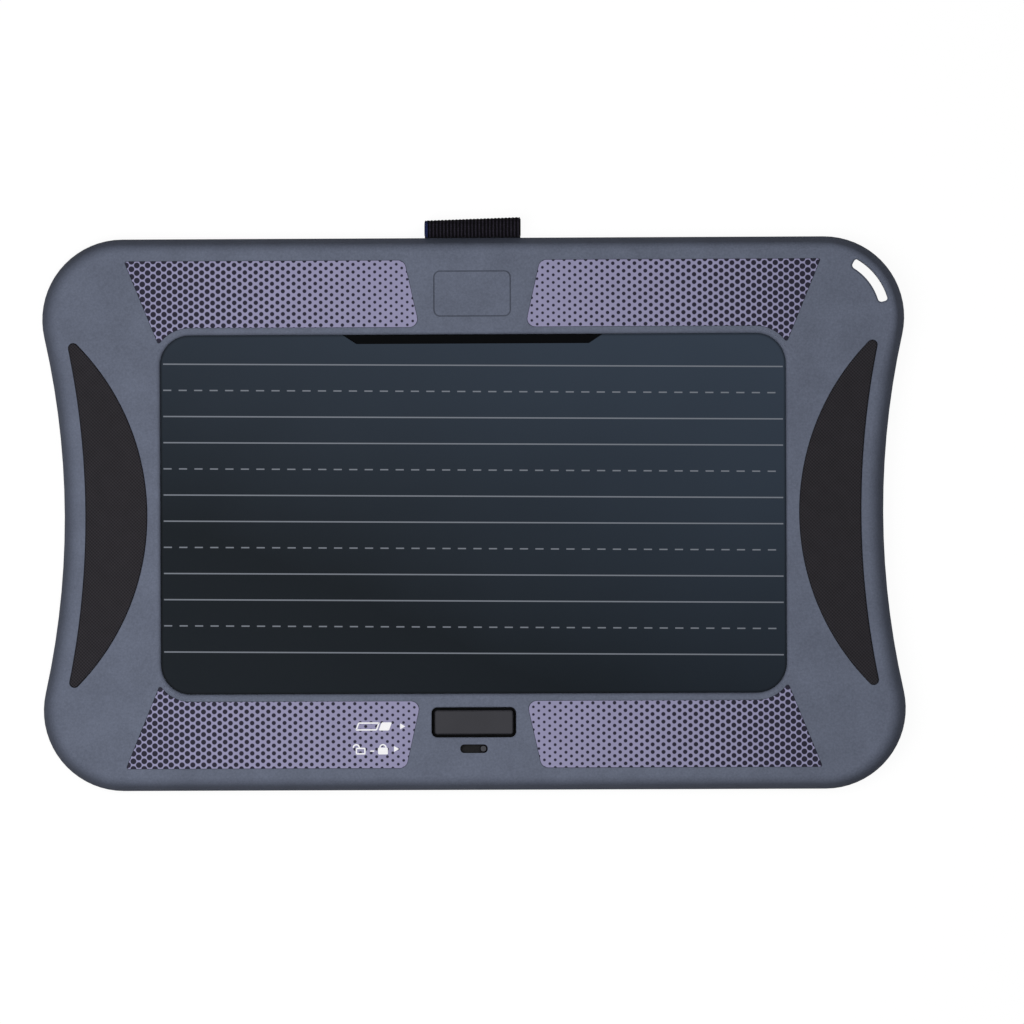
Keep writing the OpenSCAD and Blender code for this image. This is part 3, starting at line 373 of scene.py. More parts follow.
def twill_rubber_finish(colours, sizes):
    """Soft moulded rubber: nearly black, with a diagonal twill pressed in that catches a dull light."""
    # Strength of the lines that cross the main ones
    counter = 0.8
    dust_mm, press_mm = 5, 0.12
    dust_share = 0.25
    finish, add, shader, place = new_finish(
        "rubber_twill", {"IOR": 1.5, "Specular IOR Level": 0.12, "Roughness": 0.75}
    )
    axes = add("SeparateXYZ", {0: place}).node.outputs
    pace = math.tau / (sizes.grip_twill / MM) / math.sqrt(2)
    waves = []
    for operation in ("ADD", "SUBTRACT"):
        slant = add("Math", {0: axes["X"], 1: axes["Y"]}, operation=operation)
        turn = add("Math", {0: slant, 1: pace}, operation="MULTIPLY")
        waves.append(add("Math", {0: turn}, operation="SINE"))
    weave = add("Math", {0: waves[1], 1: counter, 2: waves[0]}, operation="MULTIPLY_ADD")
    peak = 1 + counter
    relief = add("MapRange", {"Value": weave, "From Min": -peak, "From Max": peak})
    dust = add("TexNoise", {"Vector": place, "Scale": 1 / dust_mm, "Detail": 5.0})
    tint = add("Mix", {"Factor": dust_share, "A": relief, "B": dust})
    # The colour follows the twill's relief: painted shade in its hollows and a painted highlight on its
    # ridges, mixed with dust
    dark, pale = shade(colours.grip, 0.3), shade(colours.grip, 1.7)
    base = add("Mix", {"Factor": tint, "A": dark, "B": pale}, data_type="RGBA")
    bump = add("Bump", {"Height": relief, "Strength": 0.8, "Distance": press_mm * MM})
    connect(shader, {"Base Color": base, "Normal": bump})
    return finish


def ribbed_elastic_finish(colours, sizes):
    """Knitted elastic: matt black yarn, cross threads, rib crowns with a painted highlight, a dark blue
    selvedge and a soft sheen.
    """
    # The threads and the fuzz are drawn coarser than real yarn, so that they show
    fuzz_mm, thread_mm = 0.4, 0.7
    thread_share, wear = 0.3, 2.4
    selvedge_mm, relief_mm = 1.6, 0.08
    matt = {"IOR": 1.45, "Specular IOR Level": 0.1, "Roughness": 0.85}
    sheen = {"Sheen Weight": 0.01, "Sheen Roughness": 0.5}
    finish, add, shader, place = new_finish("elastic_ribbed", {**matt, **sheen})
    axes = add("SeparateXYZ", {0: place}).node.outputs
    around = add("Math", {0: axes["Y"], 1: axes["Z"]}, operation="ADD")
    turn = add("Math", {0: around, 1: math.tau / thread_mm}, operation="MULTIPLY")
    thread = add("Math", {0: turn}, operation="SINE")
    fuzz = add("TexNoise", {"Vector": place, "Scale": 1 / fuzz_mm, "Detail": 4.0})
    relief = add("Math", {0: thread, 1: thread_share, 2: fuzz}, operation="MULTIPLY_ADD")
    pace = math.tau / (sizes.rib_pitch / MM)
    turn = add("Math", {0: axes["X"], 1: pace}, operation="MULTIPLY")
    crown = add("Math", {0: turn}, operation="COSINE")
    # Painted highlight on the rib crowns, broken up by the fuzz
    highlight = add("Math", {0: fuzz, 1: wear, 2: crown}, operation="MULTIPLY_ADD")
    highlight = add("MapRange", {"Value": highlight, "From Min": 0.9, "From Max": 2.4})
    black, rib = shade(colours.loop), shade(colours.loop_rib_highlight)
    body = add("Mix", {"Factor": highlight, "A": black, "B": rib}, data_type="RGBA")
    edge_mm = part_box("pen_loop")[0].x / MM + selvedge_mm
    left = add("Math", {0: axes["X"], 1: edge_mm}, operation="LESS_THAN")
    yarn = add("Mix", {"Factor": left, "A": body, "B": shade(colours.selvedge)}, data_type="RGBA")
    # The yarn's tone follows its relief: painted shade in the threads' hollows and paler tops, mixed with
    # random fuzz
    value = add("MapRange", {"Value": relief, "To Min": 0.7, "To Max": 1.4})
    base = add("HueSaturation", {"Color": yarn, "Value": value})
    bump = add("Bump", {"Height": relief, "Strength": 0.6, "Distance": relief_mm * MM})
    connect(shader, {"Base Color": base, "Normal": bump})
    return finish


def flat_finish(name, rgb, roughness, gloss=0.03, speck_mm=0.8, detail=3.0, dark=0.8, pale=1.2):
    """Thin sheet, foam, printed ink or the painted shade on a panel's edge: flat and dull, with a faint
    speckle.
    """
    finish, add, shader, place = new_finish(name, {"Roughness": roughness, "Specular IOR Level": gloss})
    speck = add("TexNoise", {"Vector": place, "Scale": 1 / speck_mm, "Detail": detail})
    base = add("Mix", {"Factor": speck, "A": shade(rgb, dark), "B": shade(rgb, pale)}, data_type="RGBA")
    connect(shader, {"Base Color": base})
    return finish


# Modelling helpers


def make_active(piece):
    """Selects this piece alone."""
    bpy.ops.object.select_all(action="DESELECT")
    piece.select_set(True)
    bpy.context.view_layer.objects.active = piece


def join(pieces):
    """Joins all the pieces to the first one."""
    make_active(pieces[0])
    for piece in pieces:
        piece.select_set(True)
    bpy.ops.object.join()


def pick(piece, part, test=None):
    """Goes to edit mode with everything selected, or the edges or faces whose corners all pass a test."""
    bpy.ops.object.mode_set(mode="EDIT")
    bpy.ops.mesh.select_mode(type=part)
    bpy.ops.mesh.select_all(action="DESELECT" if test else "SELECT")
    if test:
        bpy.ops.object.mode_set(mode="OBJECT")
        corners = piece.data.vertices
        for item in piece.data.edges if part == "EDGE" else piece.data.polygons:
            item.select = all(test(corners[index].co) for index in item.vertices)
        bpy.ops.object.mode_set(mode="EDIT")


def apply_modifier(piece, kind, **options):
    """Adds a modifier with its options and applies it."""
    make_active(piece)
    bpy.ops.object.modifier_add(type=kind)
    modifier = piece.modifiers[-1]
    for name, value in options.items():
        setattr(modifier, name, value)
    bpy.ops.object.modifier_apply(modifier=modifier.name)


def smooth(piece, degrees):
    """Smooth shading up to an edge angle, with flat faces kept flat."""
    make_active(piece)
    bpy.ops.object.shade_smooth_by_angle(angle=math.radians(degrees))
    apply_modifier(piece, "WEIGHTED_NORMAL", keep_sharp=True, weight=100)


def hand_over(piece, finish, body, nodes=()):
    """Gives a finished piece its material, body and slot, and hides the nodes that it stands for."""
    make_active(piece)
    bpy.ops.object.transform_apply()
    piece.data.materials.clear()
    piece.data.materials.append(finish)
    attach(piece, body)
    if nodes:
        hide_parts(*nodes)


def paint(node, finish):
    """Gives a CAD node its finish."""
    mesh = frame["nodes"][node].data
    mesh.materials.clear()
    mesh.materials.append(finish)


def coat(piece, finish, test):
    """Gives the faces that pass the test a finish of their own."""
    piece.data.materials.append(finish)
    for face in piece.data.polygons:
        if test(face):
            face.material_index = len(piece.data.materials) - 1


def with_mesh(name, mesh):
    """New object with its own copy of a mesh."""
    piece = bpy.data.objects.new(name, mesh.copy())
    bpy.context.scene.collection.objects.link(piece)
    return piece


def fine_copy(node, name, degrees=32, reshape=None):
    """Copy of a CAD node with whole faces for its triangles and smooth curves, reshaped if asked."""
    flat = math.radians(0.3)
    piece = with_mesh(name, frame["nodes"][node].data)
    make_active(piece)
    bpy.ops.mesh.customdata_custom_splitnormals_clear()
    pick(piece, "VERT")
    bpy.ops.mesh.remove_doubles(threshold=MERGE)
    bpy.ops.mesh.dissolve_limited(angle_limit=flat)
    bpy.ops.object.mode_set(mode="OBJECT")
    if reshape:
        reshape(piece)
    smooth(piece, degrees)
    return piece


# Steps


class TABLET_OT_stage(bpy.types.Operator):
    """Set up the floor, the soft boxes and the camera"""

    bl_idname = "tablet.stage"
    bl_label = "Studio"

    def execute(self, context):
        studio = context.scene.tablet_studio
        gap = 0.2 * MM
        bpy.ops.mesh.primitive_plane_add(size=20, location=(0, 0, cad_low.z - gap))
        floor = context.object
        floor.name = "floor"
        floor.data.materials.append(self.paper())
        right = self.soft_box("right_box", turn=15, tilt=17, distance=studio.right_distance)
        right.size, right.energy = studio.right_size, studio.right_power
        left = self.soft_box("left_box", turn=195, tilt=19, distance=studio.left_distance)
        left.size, left.energy = studio.left_size, studio.left_power
        self.fill(context.scene, studio.sky)
        bpy.ops.object.camera_add(location=studio.camera_place, rotation=studio.camera_turn)
        context.scene.camera = context.object
        context.object.data.angle = studio.camera_angle
        context.scene.view_settings.view_transform = "Standard"
        return {"FINISHED"}

    def soft_box(self, name, turn, tilt, distance):
        """Square lamp that faces the tablet, turned round it and tilted from above by some degrees."""
        turn, tilt = math.radians(turn), math.radians(tilt)
        away = Vector((math.cos(turn) * math.sin(tilt), math.sin(turn) * math.sin(tilt), math.cos(tilt)))
        bpy.ops.object.light_add(type="AREA", location=Vector((0, 0, cad_high.z)) + away * distance)
        lamp = bpy.context.object
        lamp.name = name
        lamp.rotation_euler = away.to_track_quat("Z", "Y").to_euler()
        return lamp.data

    def paper(self):
        """White paper: a glow keeps it white to the eye, and its dull colour takes a soft shadow."""
        brightness = 0.94
        dull = {"Base Color": shade(linear("505050")), "Roughness": 1.0, "Specular IOR Level": 0.0}
        finish, add, shader, _ = new_finish("paper_white", dull)
        path = add("LightPath", {}).node.outputs
        seen = path["Is Camera Ray"]
        for ray in ("Is Glossy Ray", "Is Transmission Ray"):
            seen = add("Math", {0: seen, 1: path[ray]}, operation="MAXIMUM")
        glow = add("Math", {0: seen, 1: brightness}, operation="MULTIPLY")
        connect(shader, {"Emission Color": shade(linear("ffffff")), "Emission Strength": glow})
        return finish

    def fill(self, scene, strength):
        """Even fill light from all round."""
        scene.world = bpy.data.worlds.new("fill")
        scene.world.use_nodes = True
        sky = scene.world.node_tree.nodes["Background"]
        connect(sky, {"Color": shade(linear("ffffff")), "Strength": strength})


class TABLET_OT_case(bpy.types.Operator):
    """Make the two moulded shells, with a soft roll along the front edge, and the battery door"""

    bl_idname = "tablet.case"
    bl_label = "Case shells"

    corner: length("Corner", "Radius of the case's corners", 29.6)
    side_draw: length("Side draw", "How far the sides are drawn in at the middle", 8.0)
    edge_radius: length("Edge radius", "Radius at the top of the solid's front edge", 3.0)
    edge_width: length("Edge width", "Distance from the outline to the top of that radius", 4.9)
    edge_slope: angle("Edge slope", "Slope of the front edge", 66)
    roll_width: length("Roll width", "Width of the soft roll that takes the place of the radius", 5.1)
    roll_share: number("Roll share", "Share of the roll along the top and the bottom", 0.5, min=0, max=1)
    slot_near: length("Slot near", "Distance from the lanyard slot up to which the radius stays", 14)
    slot_far: length("Slot far", "Distance from the lanyard slot at which the roll is full", 40)
    field_middle: length("Field middle", "Distance up from the case's middle to the blank field's", 81.05)
    field_width: length("Field width", "Width of the blank field", 28.6)
    field_height: length("Field height", "Height of the blank field", 17)
    groove_depth: length("Groove depth", "Depth of the groove round the field", 0.35)
    seam_depth: length("Seam depth", "Depth of the recesses that the trim panels lie in", 0.9)
    seam_gap: length("Seam gap", "Width of the seam round a trim panel", 0.15)
    lip_width: length("Lip width", "Width of the plain band between the window and the trim panels", 2.5)

    def execute(self, context):
        colours = context.scene.tablet_colours
        etch = {"grain_mm": 0.7, "depth_mm": 0.03, "roughness": 0.6, "mottle": 0.18, "gloss": 0.03}
        slate = moulded_plastic("abs_slate_etched", colours.bezel, **etch)
        dark = moulded_plastic("abs_dark_slate_etched", colours.cover, **etch)
        # Darker slate: painted shade for the groove round the blank field and the seams round the trim
        # panels
        shaded_slate = moulded_plastic("abs_slate_painted_shade", shade(colours.bezel, 0.6), **etch)
        front = fine_copy("front_bezel", "bezel_shell", reshape=self.roll_edge)
        hand_over(front, slate, CASE, ["front_bezel"])
        self.paint_groove_shade(front, shaded_slate, context.scene.tablet_print)
        hand_over(fine_copy("rear_cover", "rear_shell"), dark, CASE, ["rear_cover"])
        hand_over(fine_copy("battery_door", "door_plate"), dark, "door", ["battery_door"])
        return {"FINISHED"}

    def paint_groove_shade(self, shell, finish, sizes):
        """Paints shade into the groove round the blank field of the front shell and into the seams round
        the panels, where shade falls.
        """
        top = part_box("front_bezel")[1].z
        low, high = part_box("panel_top_right")
        radius = sizes.window_corner
        straight = Vector((sizes.window_width / 2 - radius, sizes.window_height / 2 - radius))
        reach = self.seam_gap + NEAR

        def in_groove(face):
            across = abs(face.center.x) < self.field_width / 2 + NEAR
            along = abs(face.center.y - self.field_middle) < self.field_height / 2 + NEAR
            return across and along and NEAR < top - face.center.z < self.groove_depth + NEAR

        def in_seam(face):
            x, y = abs(face.center.x), abs(face.center.y)
            past = Vector((max(0.0, x - straight.x), max(0.0, y - straight.y))).length - radius
            boxed = low.x - reach < x < high.x + reach and low.y - reach < y < high.y + reach
            return boxed and past > self.lip_width and NEAR < top - face.center.z < self.seam_depth + NEAR

        coat(shell, finish, lambda face: in_groove(face) or in_seam(face))

    def from_outline(self, point, high):
        """Distance from the case's outline to a point inside it, and the way straight in, both in plan."""
        sign = Vector((math.copysign(1, point.x), math.copysign(1, point.y)))
        spot = Vector((abs(point.x), abs(point.y)))
        corner = Vector((high.x, high.y)) - Vector((self.corner, self.corner))
        step = self.corner - self.side_draw
        side_r = (corner.y ** 2 + step ** 2 - self.corner ** 2) / (2 * (self.corner - step))
        side = Vector((corner.x + step + side_r, 0))
        meet = (side - corner).normalized()
        out = spot - corner
        if out.x <= 0 and out.y > 0:
            return high.y - spot.y, Vector((0, -sign.y))
        if out.y >= out.length * meet.y:
            return self.corner - out.length, -out.normalized() * sign
        away = spot - side
        return away.length - side_r, away.normalized() * sign

    def roll_edge(self, piece):
        """Eases the radius along the front edge into a broad soft roll, but not round the lanyard slot.

        The roll's slope grows evenly with the distance, so its depth follows the logarithm of a cosine.
        """
        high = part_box("front_bezel")[1]
        mounts = {mount["name"]: Vector(mount["pos_m"]) for mount in frame["record"]["mounts"]}
        radius, slope = self.edge_radius, self.edge_slope
        depth = radius * (1 - math.cos(slope))
        ease = self.roll_width / slope
        lead = self.edge_width - radius * math.sin(slope)
        lead -= (-ease * math.log(math.cos(slope)) - depth) / math.tan(slope)
        # A vertex this close to the solid's radius lies on it
        catch = 0.08 * MM
        for vertex in piece.data.vertices:
            below = max(0.0, high.z - vertex.co.z)
            if below > depth + catch:
                continue
            lean = min(slope, math.acos(max(-1.0, 1 - below / radius)))
            distance, inward = self.from_outline(vertex.co, high)
            if abs(distance - (self.edge_width - radius * math.sin(lean))) > catch:
                continue
            gap = (vertex.co.xy - mounts["lanyard_slot"].xy).length
            clear = min(1.0, max(0.0, (gap - self.slot_near) / (self.slot_far - self.slot_near)))
            share = self.roll_share + (1 - self.roll_share) * abs(inward.x)
            share *= clear * clear * (3 - 2 * clear)
            shift = (lead + self.roll_width * (1 - lean / slope) - distance) * share
            drop = (-ease * math.log(math.cos(lean)) - below) * share
            vertex.co += Vector((inward.x * shift, inward.y * shift, -drop))


class TABLET_OT_screen(bpy.types.Operator):
    """Print the ruled film and finish the layers behind it"""

    bl_idname = "tablet.screen"
    bl_label = "Screen"

    def execute(self, context):
        colours = context.scene.tablet_colours
        layer = {"grain_mm": 2.0, "depth_mm": 0.005, "roughness": 0.3}
        paint("ruled_film", ruled_film_finish(colours, context.scene.tablet_print))
        paint("lcd_panel", moulded_plastic("liquid_crystal_layer", colours.screen, **layer))
        paint("lcd_backer", flat_finish("polyester_sheet_black", linear("08090b"), roughness=0.6))
        paint("lcd_flex_tail", flat_finish("coverlay_black", linear("060709"), roughness=0.7))
        paint("lcd_gasket", flat_finish("foam_closed_cell", linear("1b1b1e"), roughness=0.95))
        return {"FINISHED"}


class TABLET_OT_trim(bpy.types.Operator):
    """Print the four dotted panels, with painted shade on their edges, and finish the two grips"""

    bl_idname = "tablet.trim"
    bl_label = "Panels and grips"

    def execute(self, context):
        # A face whose normal points up by less than this belongs to a panel's edge
        lean = 0.9
        colours, sizes = context.scene.tablet_colours, context.scene.tablet_print
        dotted = dotted_panel_finish(colours, sizes)
        edge_shade = flat_finish("polycarbonate_edge_painted_shade", colours.dots, roughness=0.8)
        for corner in ("top_left", "top_right", "bottom_left", "bottom_right"):
            piece = fine_copy("panel_" + corner, "trim_" + corner)
            hand_over(piece, dotted, CASE, ["panel_" + corner])
            # The panel's edges take painted shade, as the dark line of shade round each panel
            coat(piece, edge_shade, lambda face: face.normal.z < lean)
        rubber = twill_rubber_finish(colours, sizes)
        for side in ("left", "right"):
            piece = fine_copy("grip_" + side, "pad_" + side, degrees=45)
            hand_over(piece, rubber, CASE, ["grip_" + side])
        return {"FINISHED"}


class TABLET_OT_controls(bpy.types.Operator):
    """Finish the erase button and the lock knob, with painted shade on their flanges, the knob's plate and
    the walls of their openings, and a painted highlight on the knob's crown
    """

    bl_idname = "tablet.controls"
    bl_label = "Controls"

    flange_depth: length("Flange depth", "Depth below the face at which a control's flange begins", 2.0)
    # The knob's crown takes a painted highlight down to this depth
    crown_depth: length("Crown depth", "How far down the worn crown of the knob reaches", 0.1)

    def execute(self, context):
        control = context.scene.tablet_colours.control
        black, dark, pale = linear("040405"), shade(control, 0.12), shade(control, 1.2)
        etch = {"grain_mm": 0.5, "depth_mm": 0.03, "roughness": 0.6, "mottle": 0.1}
        grey = moulded_plastic("abs_charcoal_etched", control, **etch)
        # Black: painted shade on the button's flange and on the walls of the openings, where the gaps round
        # the controls lie in shade; the knob's body is black too
        black_and_gap_shade = moulded_plastic("rubber_black_painted_gap_shade", black, grain_mm=0.8, depth_mm=0.02, roughness=0.85)
        # Near-black nylon: painted shade on the knob's plate, the floor seen in the lock's slot
        plate = moulded_plastic("nylon_slide_plate_painted_shade", dark, grain_mm=0.6, depth_mm=0.02, roughness=0.6)
        # Paler nylon: a painted highlight on the knob's crown
        highlight = moulded_plastic("nylon_knob_painted_highlight", pale, grain_mm=0.4, depth_mm=0.02, roughness=0.5)
        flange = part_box("front_bezel")[1].z - self.flange_depth
        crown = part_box("lock_knob")[1].z - self.crown_depth
        button = fine_copy("erase_button", "button_cap")
        hand_over(button, grey, "erase", ["erase_button"])
        coat(button, black_and_gap_shade, lambda face: face.center.z < flange)
        knob = fine_copy("lock_knob", "lock_cap")
        hand_over(knob, black_and_gap_shade, "lock", ["lock_knob"])
        coat(knob, plate, lambda face: face.center.z < flange)
        coat(knob, highlight, lambda face: face.center.z > crown)
        for node in ("erase_button", "lock_knob"):
            self.paint_wall_shade(bpy.data.objects["bezel_shell"], black_and_gap_shade, node)
        return {"FINISHED"}

    def paint_wall_shade(self, shell, finish, node):
        """Paints shade onto the walls of the opening that a control stands in: they are made black."""
        low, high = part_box(node)
        # A face whose normal points up or down by less than this is a wall
        lean = 0.5

        def is_wall(face):
            inside = low.x < face.center.x < high.x and low.y < face.center.y < high.y
            return inside and abs(face.normal.z) < lean

        coat(shell, finish, is_wall)


class TABLET_OT_pen_loop(bpy.types.Operator):
    """Sweep the ribbed elastic round its loop and into the case"""

    bl_idname = "tablet.pen_loop"
    bl_label = "Pen loop"

    thickness: length("Thickness", "Thickness of the elastic", 0.95)
    bend: length("Bend", "Radius of the loop's corners, at the middle of the elastic", 1.82)
    mouth_bend: length("Mouth bend", "Radius where the elastic leaves the case", 0.9)
    mouth_gap: length("Mouth gap", "Room between the case's edge and the loop", 0.15)
    rib_height: length("Rib height", "Height of the ribs", 0.1)
    margin: length("Margin", "Room left at each side of the loop's solid", 0.5)
    pull_left: length("Pull left", "How far the left end of the loop is pulled up", 0.2)
    pull_right: length("Pull right", "How far the right end of the loop is pulled up", 1.3)
    steps: bpy.props.IntProperty(
        name="Steps", description="Faces across a rib and round a bend", default=6, min=2
    )

    def execute(self, context):
        colours, sizes = context.scene.tablet_colours, context.scene.tablet_print
        pitch = sizes.rib_pitch
        low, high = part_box("pen_loop")
        half = self.thickness / 2
        inner_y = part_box("front_bezel")[1].y + self.mouth_gap + half
        outer_y = high.y - half
        parting = (low.z + high.z) / 2
        reach = outer_y - inner_y - 2 * self.bend
        rise = high.z - low.z - 2 * half - 2 * self.bend
        drop = rise / 2 - half - self.mouth_bend
        tail = inner_y - self.mouth_bend - low.y
        mouth, bend = self.mouth_bend, self.bend
        # Length of each straight run, which way it then turns, and the radius of the turn
        bends = [(tail, -1, mouth), (drop, 1, bend), (reach, 1, bend), (rise, 1, bend)]
        bends += [(reach, 1, bend), (drop, -1, mouth), (tail, 0, 0)]
        width = high.x - low.x - 2 * self.margin
        points = self.steps * round(width / pitch)
        bpy.ops.mesh.primitive_grid_add(x_subdivisions=points, y_subdivisions=1, size=1)
        piece = context.object
        piece.name = "elastic_loop"
        for vertex in piece.data.vertices:
            x = vertex.co.x * width
            rib = self.rib_height * math.cos(math.tau * x / pitch)
            vertex.co = (x, low.y, parting - half + rib)
        pick(piece, "EDGE")
        bpy.ops.mesh.remove_doubles(threshold=MERGE)
        bpy.ops.mesh.select_all(action="SELECT")
        self.sweep(bends, Vector((0, low.y, parting - half)))
        bpy.ops.mesh.select_all(action="SELECT")
        bpy.ops.mesh.remove_doubles(threshold=MERGE)
        bpy.ops.mesh.normals_make_consistent(inside=False)
        bpy.ops.object.mode_set(mode="OBJECT")
        for vertex in piece.data.vertices:
            share = max(0.0, (vertex.co.y - inner_y) / (outer_y - inner_y))
            right = vertex.co.x / width + 0.5
            vertex.co.y += share * (self.pull_left + (self.pull_right - self.pull_left) * right)
        apply_modifier(piece, "SOLIDIFY", thickness=self.thickness - 2 * self.rib_height, offset=0)
        smooth(piece, degrees=50)
        hand_over(piece, ribbed_elastic_finish(colours, sizes), CASE, ["pen_loop"])
        return {"FINISHED"}

    def sweep(self, bends, place):
        """Draws the selected edges out along the runs and bends, from a place at the end of a tail."""
        heading = Vector((0, 1, 0))
        across = Vector((1, 0, 0))
        for run, turn, radius in bends:
            bpy.ops.mesh.extrude_edges_move(TRANSFORM_OT_translate={"value": heading * run})
            place = place + heading * run
            if turn:
                left = across.cross(heading) * turn
                centre = place + left * radius
                bpy.ops.mesh.spin(steps=self.steps, angle=-turn * math.pi / 2, center=centre, axis=across)
                place = centre + heading * radius
                heading = left


class TABLET_OT_marks(bpy.types.Operator):
    """Print an eraser and two padlocks beside the controls, each with a pointer"""

    bl_idname = "tablet.marks"
    bl_label = "Control marks"

    ink: length("Ink", "Thickness of the printed ink", 0.03)
    line: length("Line", "Width of a printed line", 0.5)
    erase_row: length("Erase row", "Height of the marks beside the erase button", -78.0)
    lock_row: length("Lock row", "Height of the marks beside the lock", -86.3)

    def execute(self, context):
        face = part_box("panel_bottom_left")[1].z
        erase, lock = self.erase_row / MM, self.lock_row / MM
        body_row, shackle_row = lock - 0.75, lock + 0.5
        eraser = {"y": erase, "height": 3.0, "corner": 0.45, "slant": 1.1}
        body = {"y": body_row, "width": 3.6, "height": 2.5, "corner": 0.4}
        # The shackle of the open padlock is swung aside
        marks = [
            self.block(x=-39.1, width=8.0, hollow=True, **eraser),
            self.block(x=-32.6, width=3.8, **eraser),
            self.pointer(x=-26.5, y=erase),
            self.block(x=-41.7, hollow=True, **body),
            self.shackle(x=-43.3, y=shackle_row),
            self.block(x=-37.4, y=body_row, width=1.5, height=0.45, corner=0.1),
            self.block(x=-33.5, **body),
            self.shackle(x=-33.5, y=shackle_row),
            self.pointer(x=-28.8, y=lock),
        ]
        join(marks)
        piece = marks[0]
        piece.name = "control_marks"
        pick(piece, "FACE")
        bpy.ops.mesh.extrude_region_move(TRANSFORM_OT_translate={"value": (0, 0, self.ink)})
        bpy.ops.mesh.select_all(action="SELECT")
        bpy.ops.mesh.normals_make_consistent(inside=False)
        bpy.ops.transform.translate(value=(0, 0, face))
        bpy.ops.object.mode_set(mode="OBJECT")
        rgb = context.scene.tablet_colours.ink
        uneven = {"speck_mm": 0.5, "detail": 2.0, "dark": 0.86, "pale": 1.0}
        white = flat_finish("ink_white", rgb, roughness=0.6, gloss=0.3, **uneven)
        hand_over(piece, white, CASE)
        return {"FINISHED"}

    def block(self, x, y, width, height, corner, slant=0.0, hollow=False):
        """Flat rounded block, or a line round one, its top pushed along by the slant, in millimetres."""
        bpy.ops.mesh.primitive_plane_add(size=1)
        piece = bpy.context.object
        for vertex in piece.data.vertices:
            across, up, _ = vertex.co
            vertex.co = Vector((x + across * width + up * slant, y + up * height, 0)) * MM
        pick(piece, "VERT")
        bpy.ops.mesh.bevel(offset=corner * MM, segments=4, affect="VERTICES")
        if hollow:
            pick(piece, "FACE")
            bpy.ops.mesh.inset(thickness=self.line)
            bpy.ops.mesh.delete(type="FACE")
        bpy.ops.object.mode_set(mode="OBJECT")
        return piece

    def shackle(self, x, y):
        """Flat half ring that stands on a padlock's body, in millimetres."""
        bpy.ops.mesh.primitive_circle_add(vertices=32, radius=1.35 * MM, fill_type="NGON")
        piece = bpy.context.object
        pick(piece, "FACE")
        bpy.ops.mesh.inset(thickness=self.line)
        bpy.ops.mesh.delete(type="FACE")
        bpy.ops.mesh.select_all(action="SELECT")
        bpy.ops.mesh.bisect(plane_co=(0, 0, 0), plane_no=(0, 1, 0), clear_inner=True)
        bpy.ops.mesh.select_all(action="SELECT")
        bpy.ops.transform.translate(value=(x * MM, y * MM, 0))
        bpy.ops.object.mode_set(mode="OBJECT")
        return piece

    def pointer(self, x, y):
        """Small triangle that points right, in millimetres."""
        bpy.ops.mesh.primitive_circle_add(vertices=3, radius=1.25 * MM, fill_type="NGON")
        piece = bpy.context.object
        for vertex in piece.data.vertices:
            vertex.co = (vertex.co.y + x * MM, vertex.co.x + y * MM, 0)
        return piece


class TABLET_OT_screws(bpy.types.Operator):
    """Model a cross-head screw of each kind and set one in every screw hole of the back"""

    bl_idname = "tablet.screws"
    bl_label = "Screws"

    case_head: length("Case head", "Height of a case screw's head", 1.8)
    door_head: length("Door head", "Height of a door screw's head", 1.1)
    rim: length("Rim", "Rounding of a head's rim", 0.3)
    recess_depth: length("Recess", "Depth of the cross in a head", 0.8)
    recess_width: length("Recess width", "Width of one bar of the cross", 0.7)

    def execute(self, context):
        steel = plated_metal("steel_zinc_plated", linear("b4b5b8"), roughness=0.35, grain_mm=0.6)
        self.fill_holes("case_screws", "shell_screws", CASE, self.case_head, steel)
        self.fill_holes("door_screws", "lid_screws", "door", self.door_head, steel)
        for node in ("board_screws", "clamp_screws", "lock_switch"):
            paint(node, steel)
        return {"FINISHED"}

    def fill_holes(self, node, name, body, head, finish):
        """Sets a copy of the screw at each screw of a CAD node, whose screws are all alike."""
        loose = with_mesh(name, frame["nodes"][node].data)
        make_active(loose)
        pick(loose, "FACE")
        bpy.ops.mesh.remove_doubles(threshold=MERGE)
        bpy.ops.mesh.separate(type="LOOSE")
        bpy.ops.object.mode_set(mode="OBJECT")
        places = []
        for part in bpy.context.selected_objects:
            points = [vertex.co.copy() for vertex in part.data.vertices]
            low = Vector([min(p[i] for p in points) for i in range(3)])
            high = Vector([max(p[i] for p in points) for i in range(3)])
            places.append(Vector(((low.x + high.x) / 2, (low.y + high.y) / 2, low.z)))
        bpy.ops.object.delete()
        size = high - low
        end = [p.x for p in points if p.z > high.z - NEAR]
        screw = self.screw(name, size.x / 2, head, (max(end) - min(end)) / 2, size.z)
        screws = [screw, *(with_mesh(name, screw.data) for _ in places[1:])]
        for piece, place in zip(screws, places):
            piece.location = place
        join(screws)
        hand_over(screw, finish, body, [node])

    def screw(self, name, head_r, head, shank_r, height):
        """Screw that stands on its head: rounded rim, cross recess, and a plain shank."""
        middle = (0, 0, head / 2)
        bpy.ops.mesh.primitive_cylinder_add(vertices=40, radius=head_r, depth=head, location=middle)
        piece = bpy.context.object
        piece.name = name
        bpy.ops.object.transform_apply()
        pick(piece, "EDGE", lambda corner: corner.z < NEAR)
        bpy.ops.mesh.bevel(offset=self.rim, segments=3, affect="EDGES")
        pick(piece, "FACE", lambda corner: corner.z > head - NEAR)
        bpy.ops.mesh.inset(thickness=head_r - shank_r)
        bpy.ops.mesh.extrude_region_move(TRANSFORM_OT_translate={"value": (0, 0, height - head)})
        bpy.ops.object.mode_set(mode="OBJECT")
        middle = (0, 0, self.recess_depth / 2 - NEAR)
        span = 1.25 * head_r
        for turn in (0, math.pi / 2):
            bpy.ops.mesh.primitive_cube_add(size=1, location=middle, rotation=(0, 0, turn))
            bar = bpy.context.object
            bar.scale = (span, self.recess_width, self.recess_depth)
            apply_modifier(piece, "BOOLEAN", object=bar, operation="DIFFERENCE", solver="EXACT")
            make_active(bar)
            bpy.ops.object.delete()
        smooth(piece, degrees=35)
        return piece


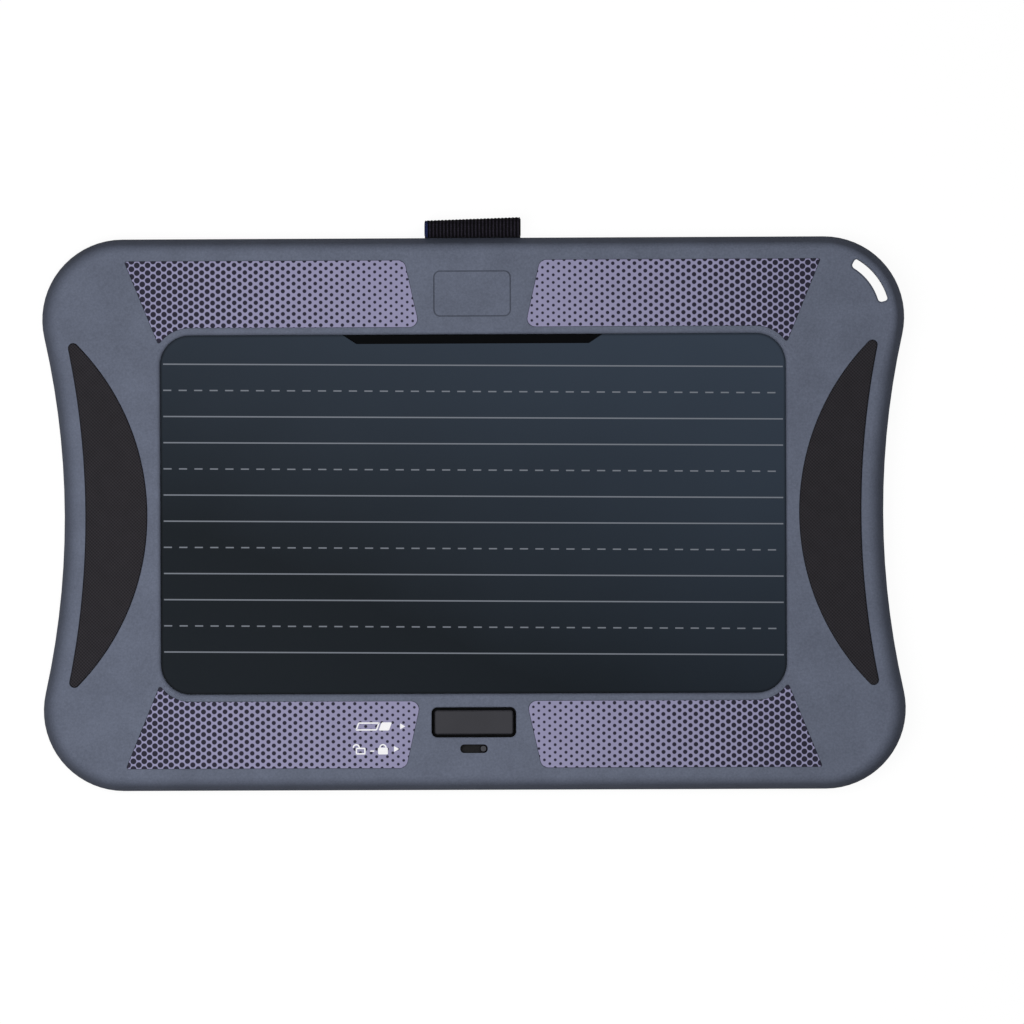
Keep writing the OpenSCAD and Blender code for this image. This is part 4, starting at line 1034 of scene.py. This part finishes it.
class TABLET_OT_inner_parts(bpy.types.Operator):
    """Finish the board, the switches, the battery and the clamp inside the case"""

    bl_idname = "tablet.inner_parts"
    bl_label = "Inner parts"

    def execute(self, context):
        etch = {"grain_mm": 0.7, "depth_mm": 0.02, "roughness": 0.5}
        gloss_mask = {"grain_mm": 1.5, "depth_mm": 0.01, "roughness": 0.25}
        nylon = moulded_plastic("nylon_black", linear("17171a"), **etch)
        switches = ("erase_plunger", "erase_switch", "lock_lever")
        for node in ("board_components", *switches, "battery_holder", "loop_clamp"):
            paint(node, nylon)
        paint("flex_connector", moulded_plastic("nylon_ivory", linear("e2dcc6"), **etch))
        paint("circuit_board", moulded_plastic("solder_mask_green", linear("1d5a38"), **gloss_mask))
        nickel = plated_metal("steel_nickel_plated", linear("c4c2bc"), roughness=0.22, grain_mm=1.2)
        paint("coin_cell", nickel)
        brass = plated_metal("brass_sprung", linear("c7a75c"), roughness=0.3, grain_mm=0.8)
        paint("battery_contacts", brass)
        return {"FINISHED"}


class VIEW3D_PT_tablet(bpy.types.Panel):
    """Lists the steps that dress the tablet"""

    bl_label = "Writing tablet"
    bl_space_type = "VIEW_3D"
    bl_region_type = "UI"
    bl_category = "Tablet"

    def draw(self, context):
        for step in STEPS:
            self.layout.operator(step.bl_idname)


STEPS = (
    TABLET_OT_stage,
    TABLET_OT_case,
    TABLET_OT_screen,
    TABLET_OT_trim,
    TABLET_OT_controls,
    TABLET_OT_pen_loop,
    TABLET_OT_marks,
    TABLET_OT_screws,
    TABLET_OT_inner_parts,
)
GROUPS = {"tablet_colours": TabletColours, "tablet_print": TabletPrint, "tablet_studio": TabletStudio}
CLASSES = (*GROUPS.values(), *STEPS, VIEW3D_PT_tablet)


def register():
    for item in CLASSES:
        bpy.utils.register_class(item)
    for name, group in GROUPS.items():
        setattr(bpy.types.Scene, name, bpy.props.PointerProperty(type=group))


def unregister():
    for name in GROUPS:
        delattr(bpy.types.Scene, name)
    for item in reversed(CLASSES):
        bpy.utils.unregister_class(item)


def main():
    register()
    for step in STEPS:
        group, name = step.bl_idname.split(".")
        getattr(getattr(bpy.ops, group), name)()


if __name__ == "__main__":
    main()
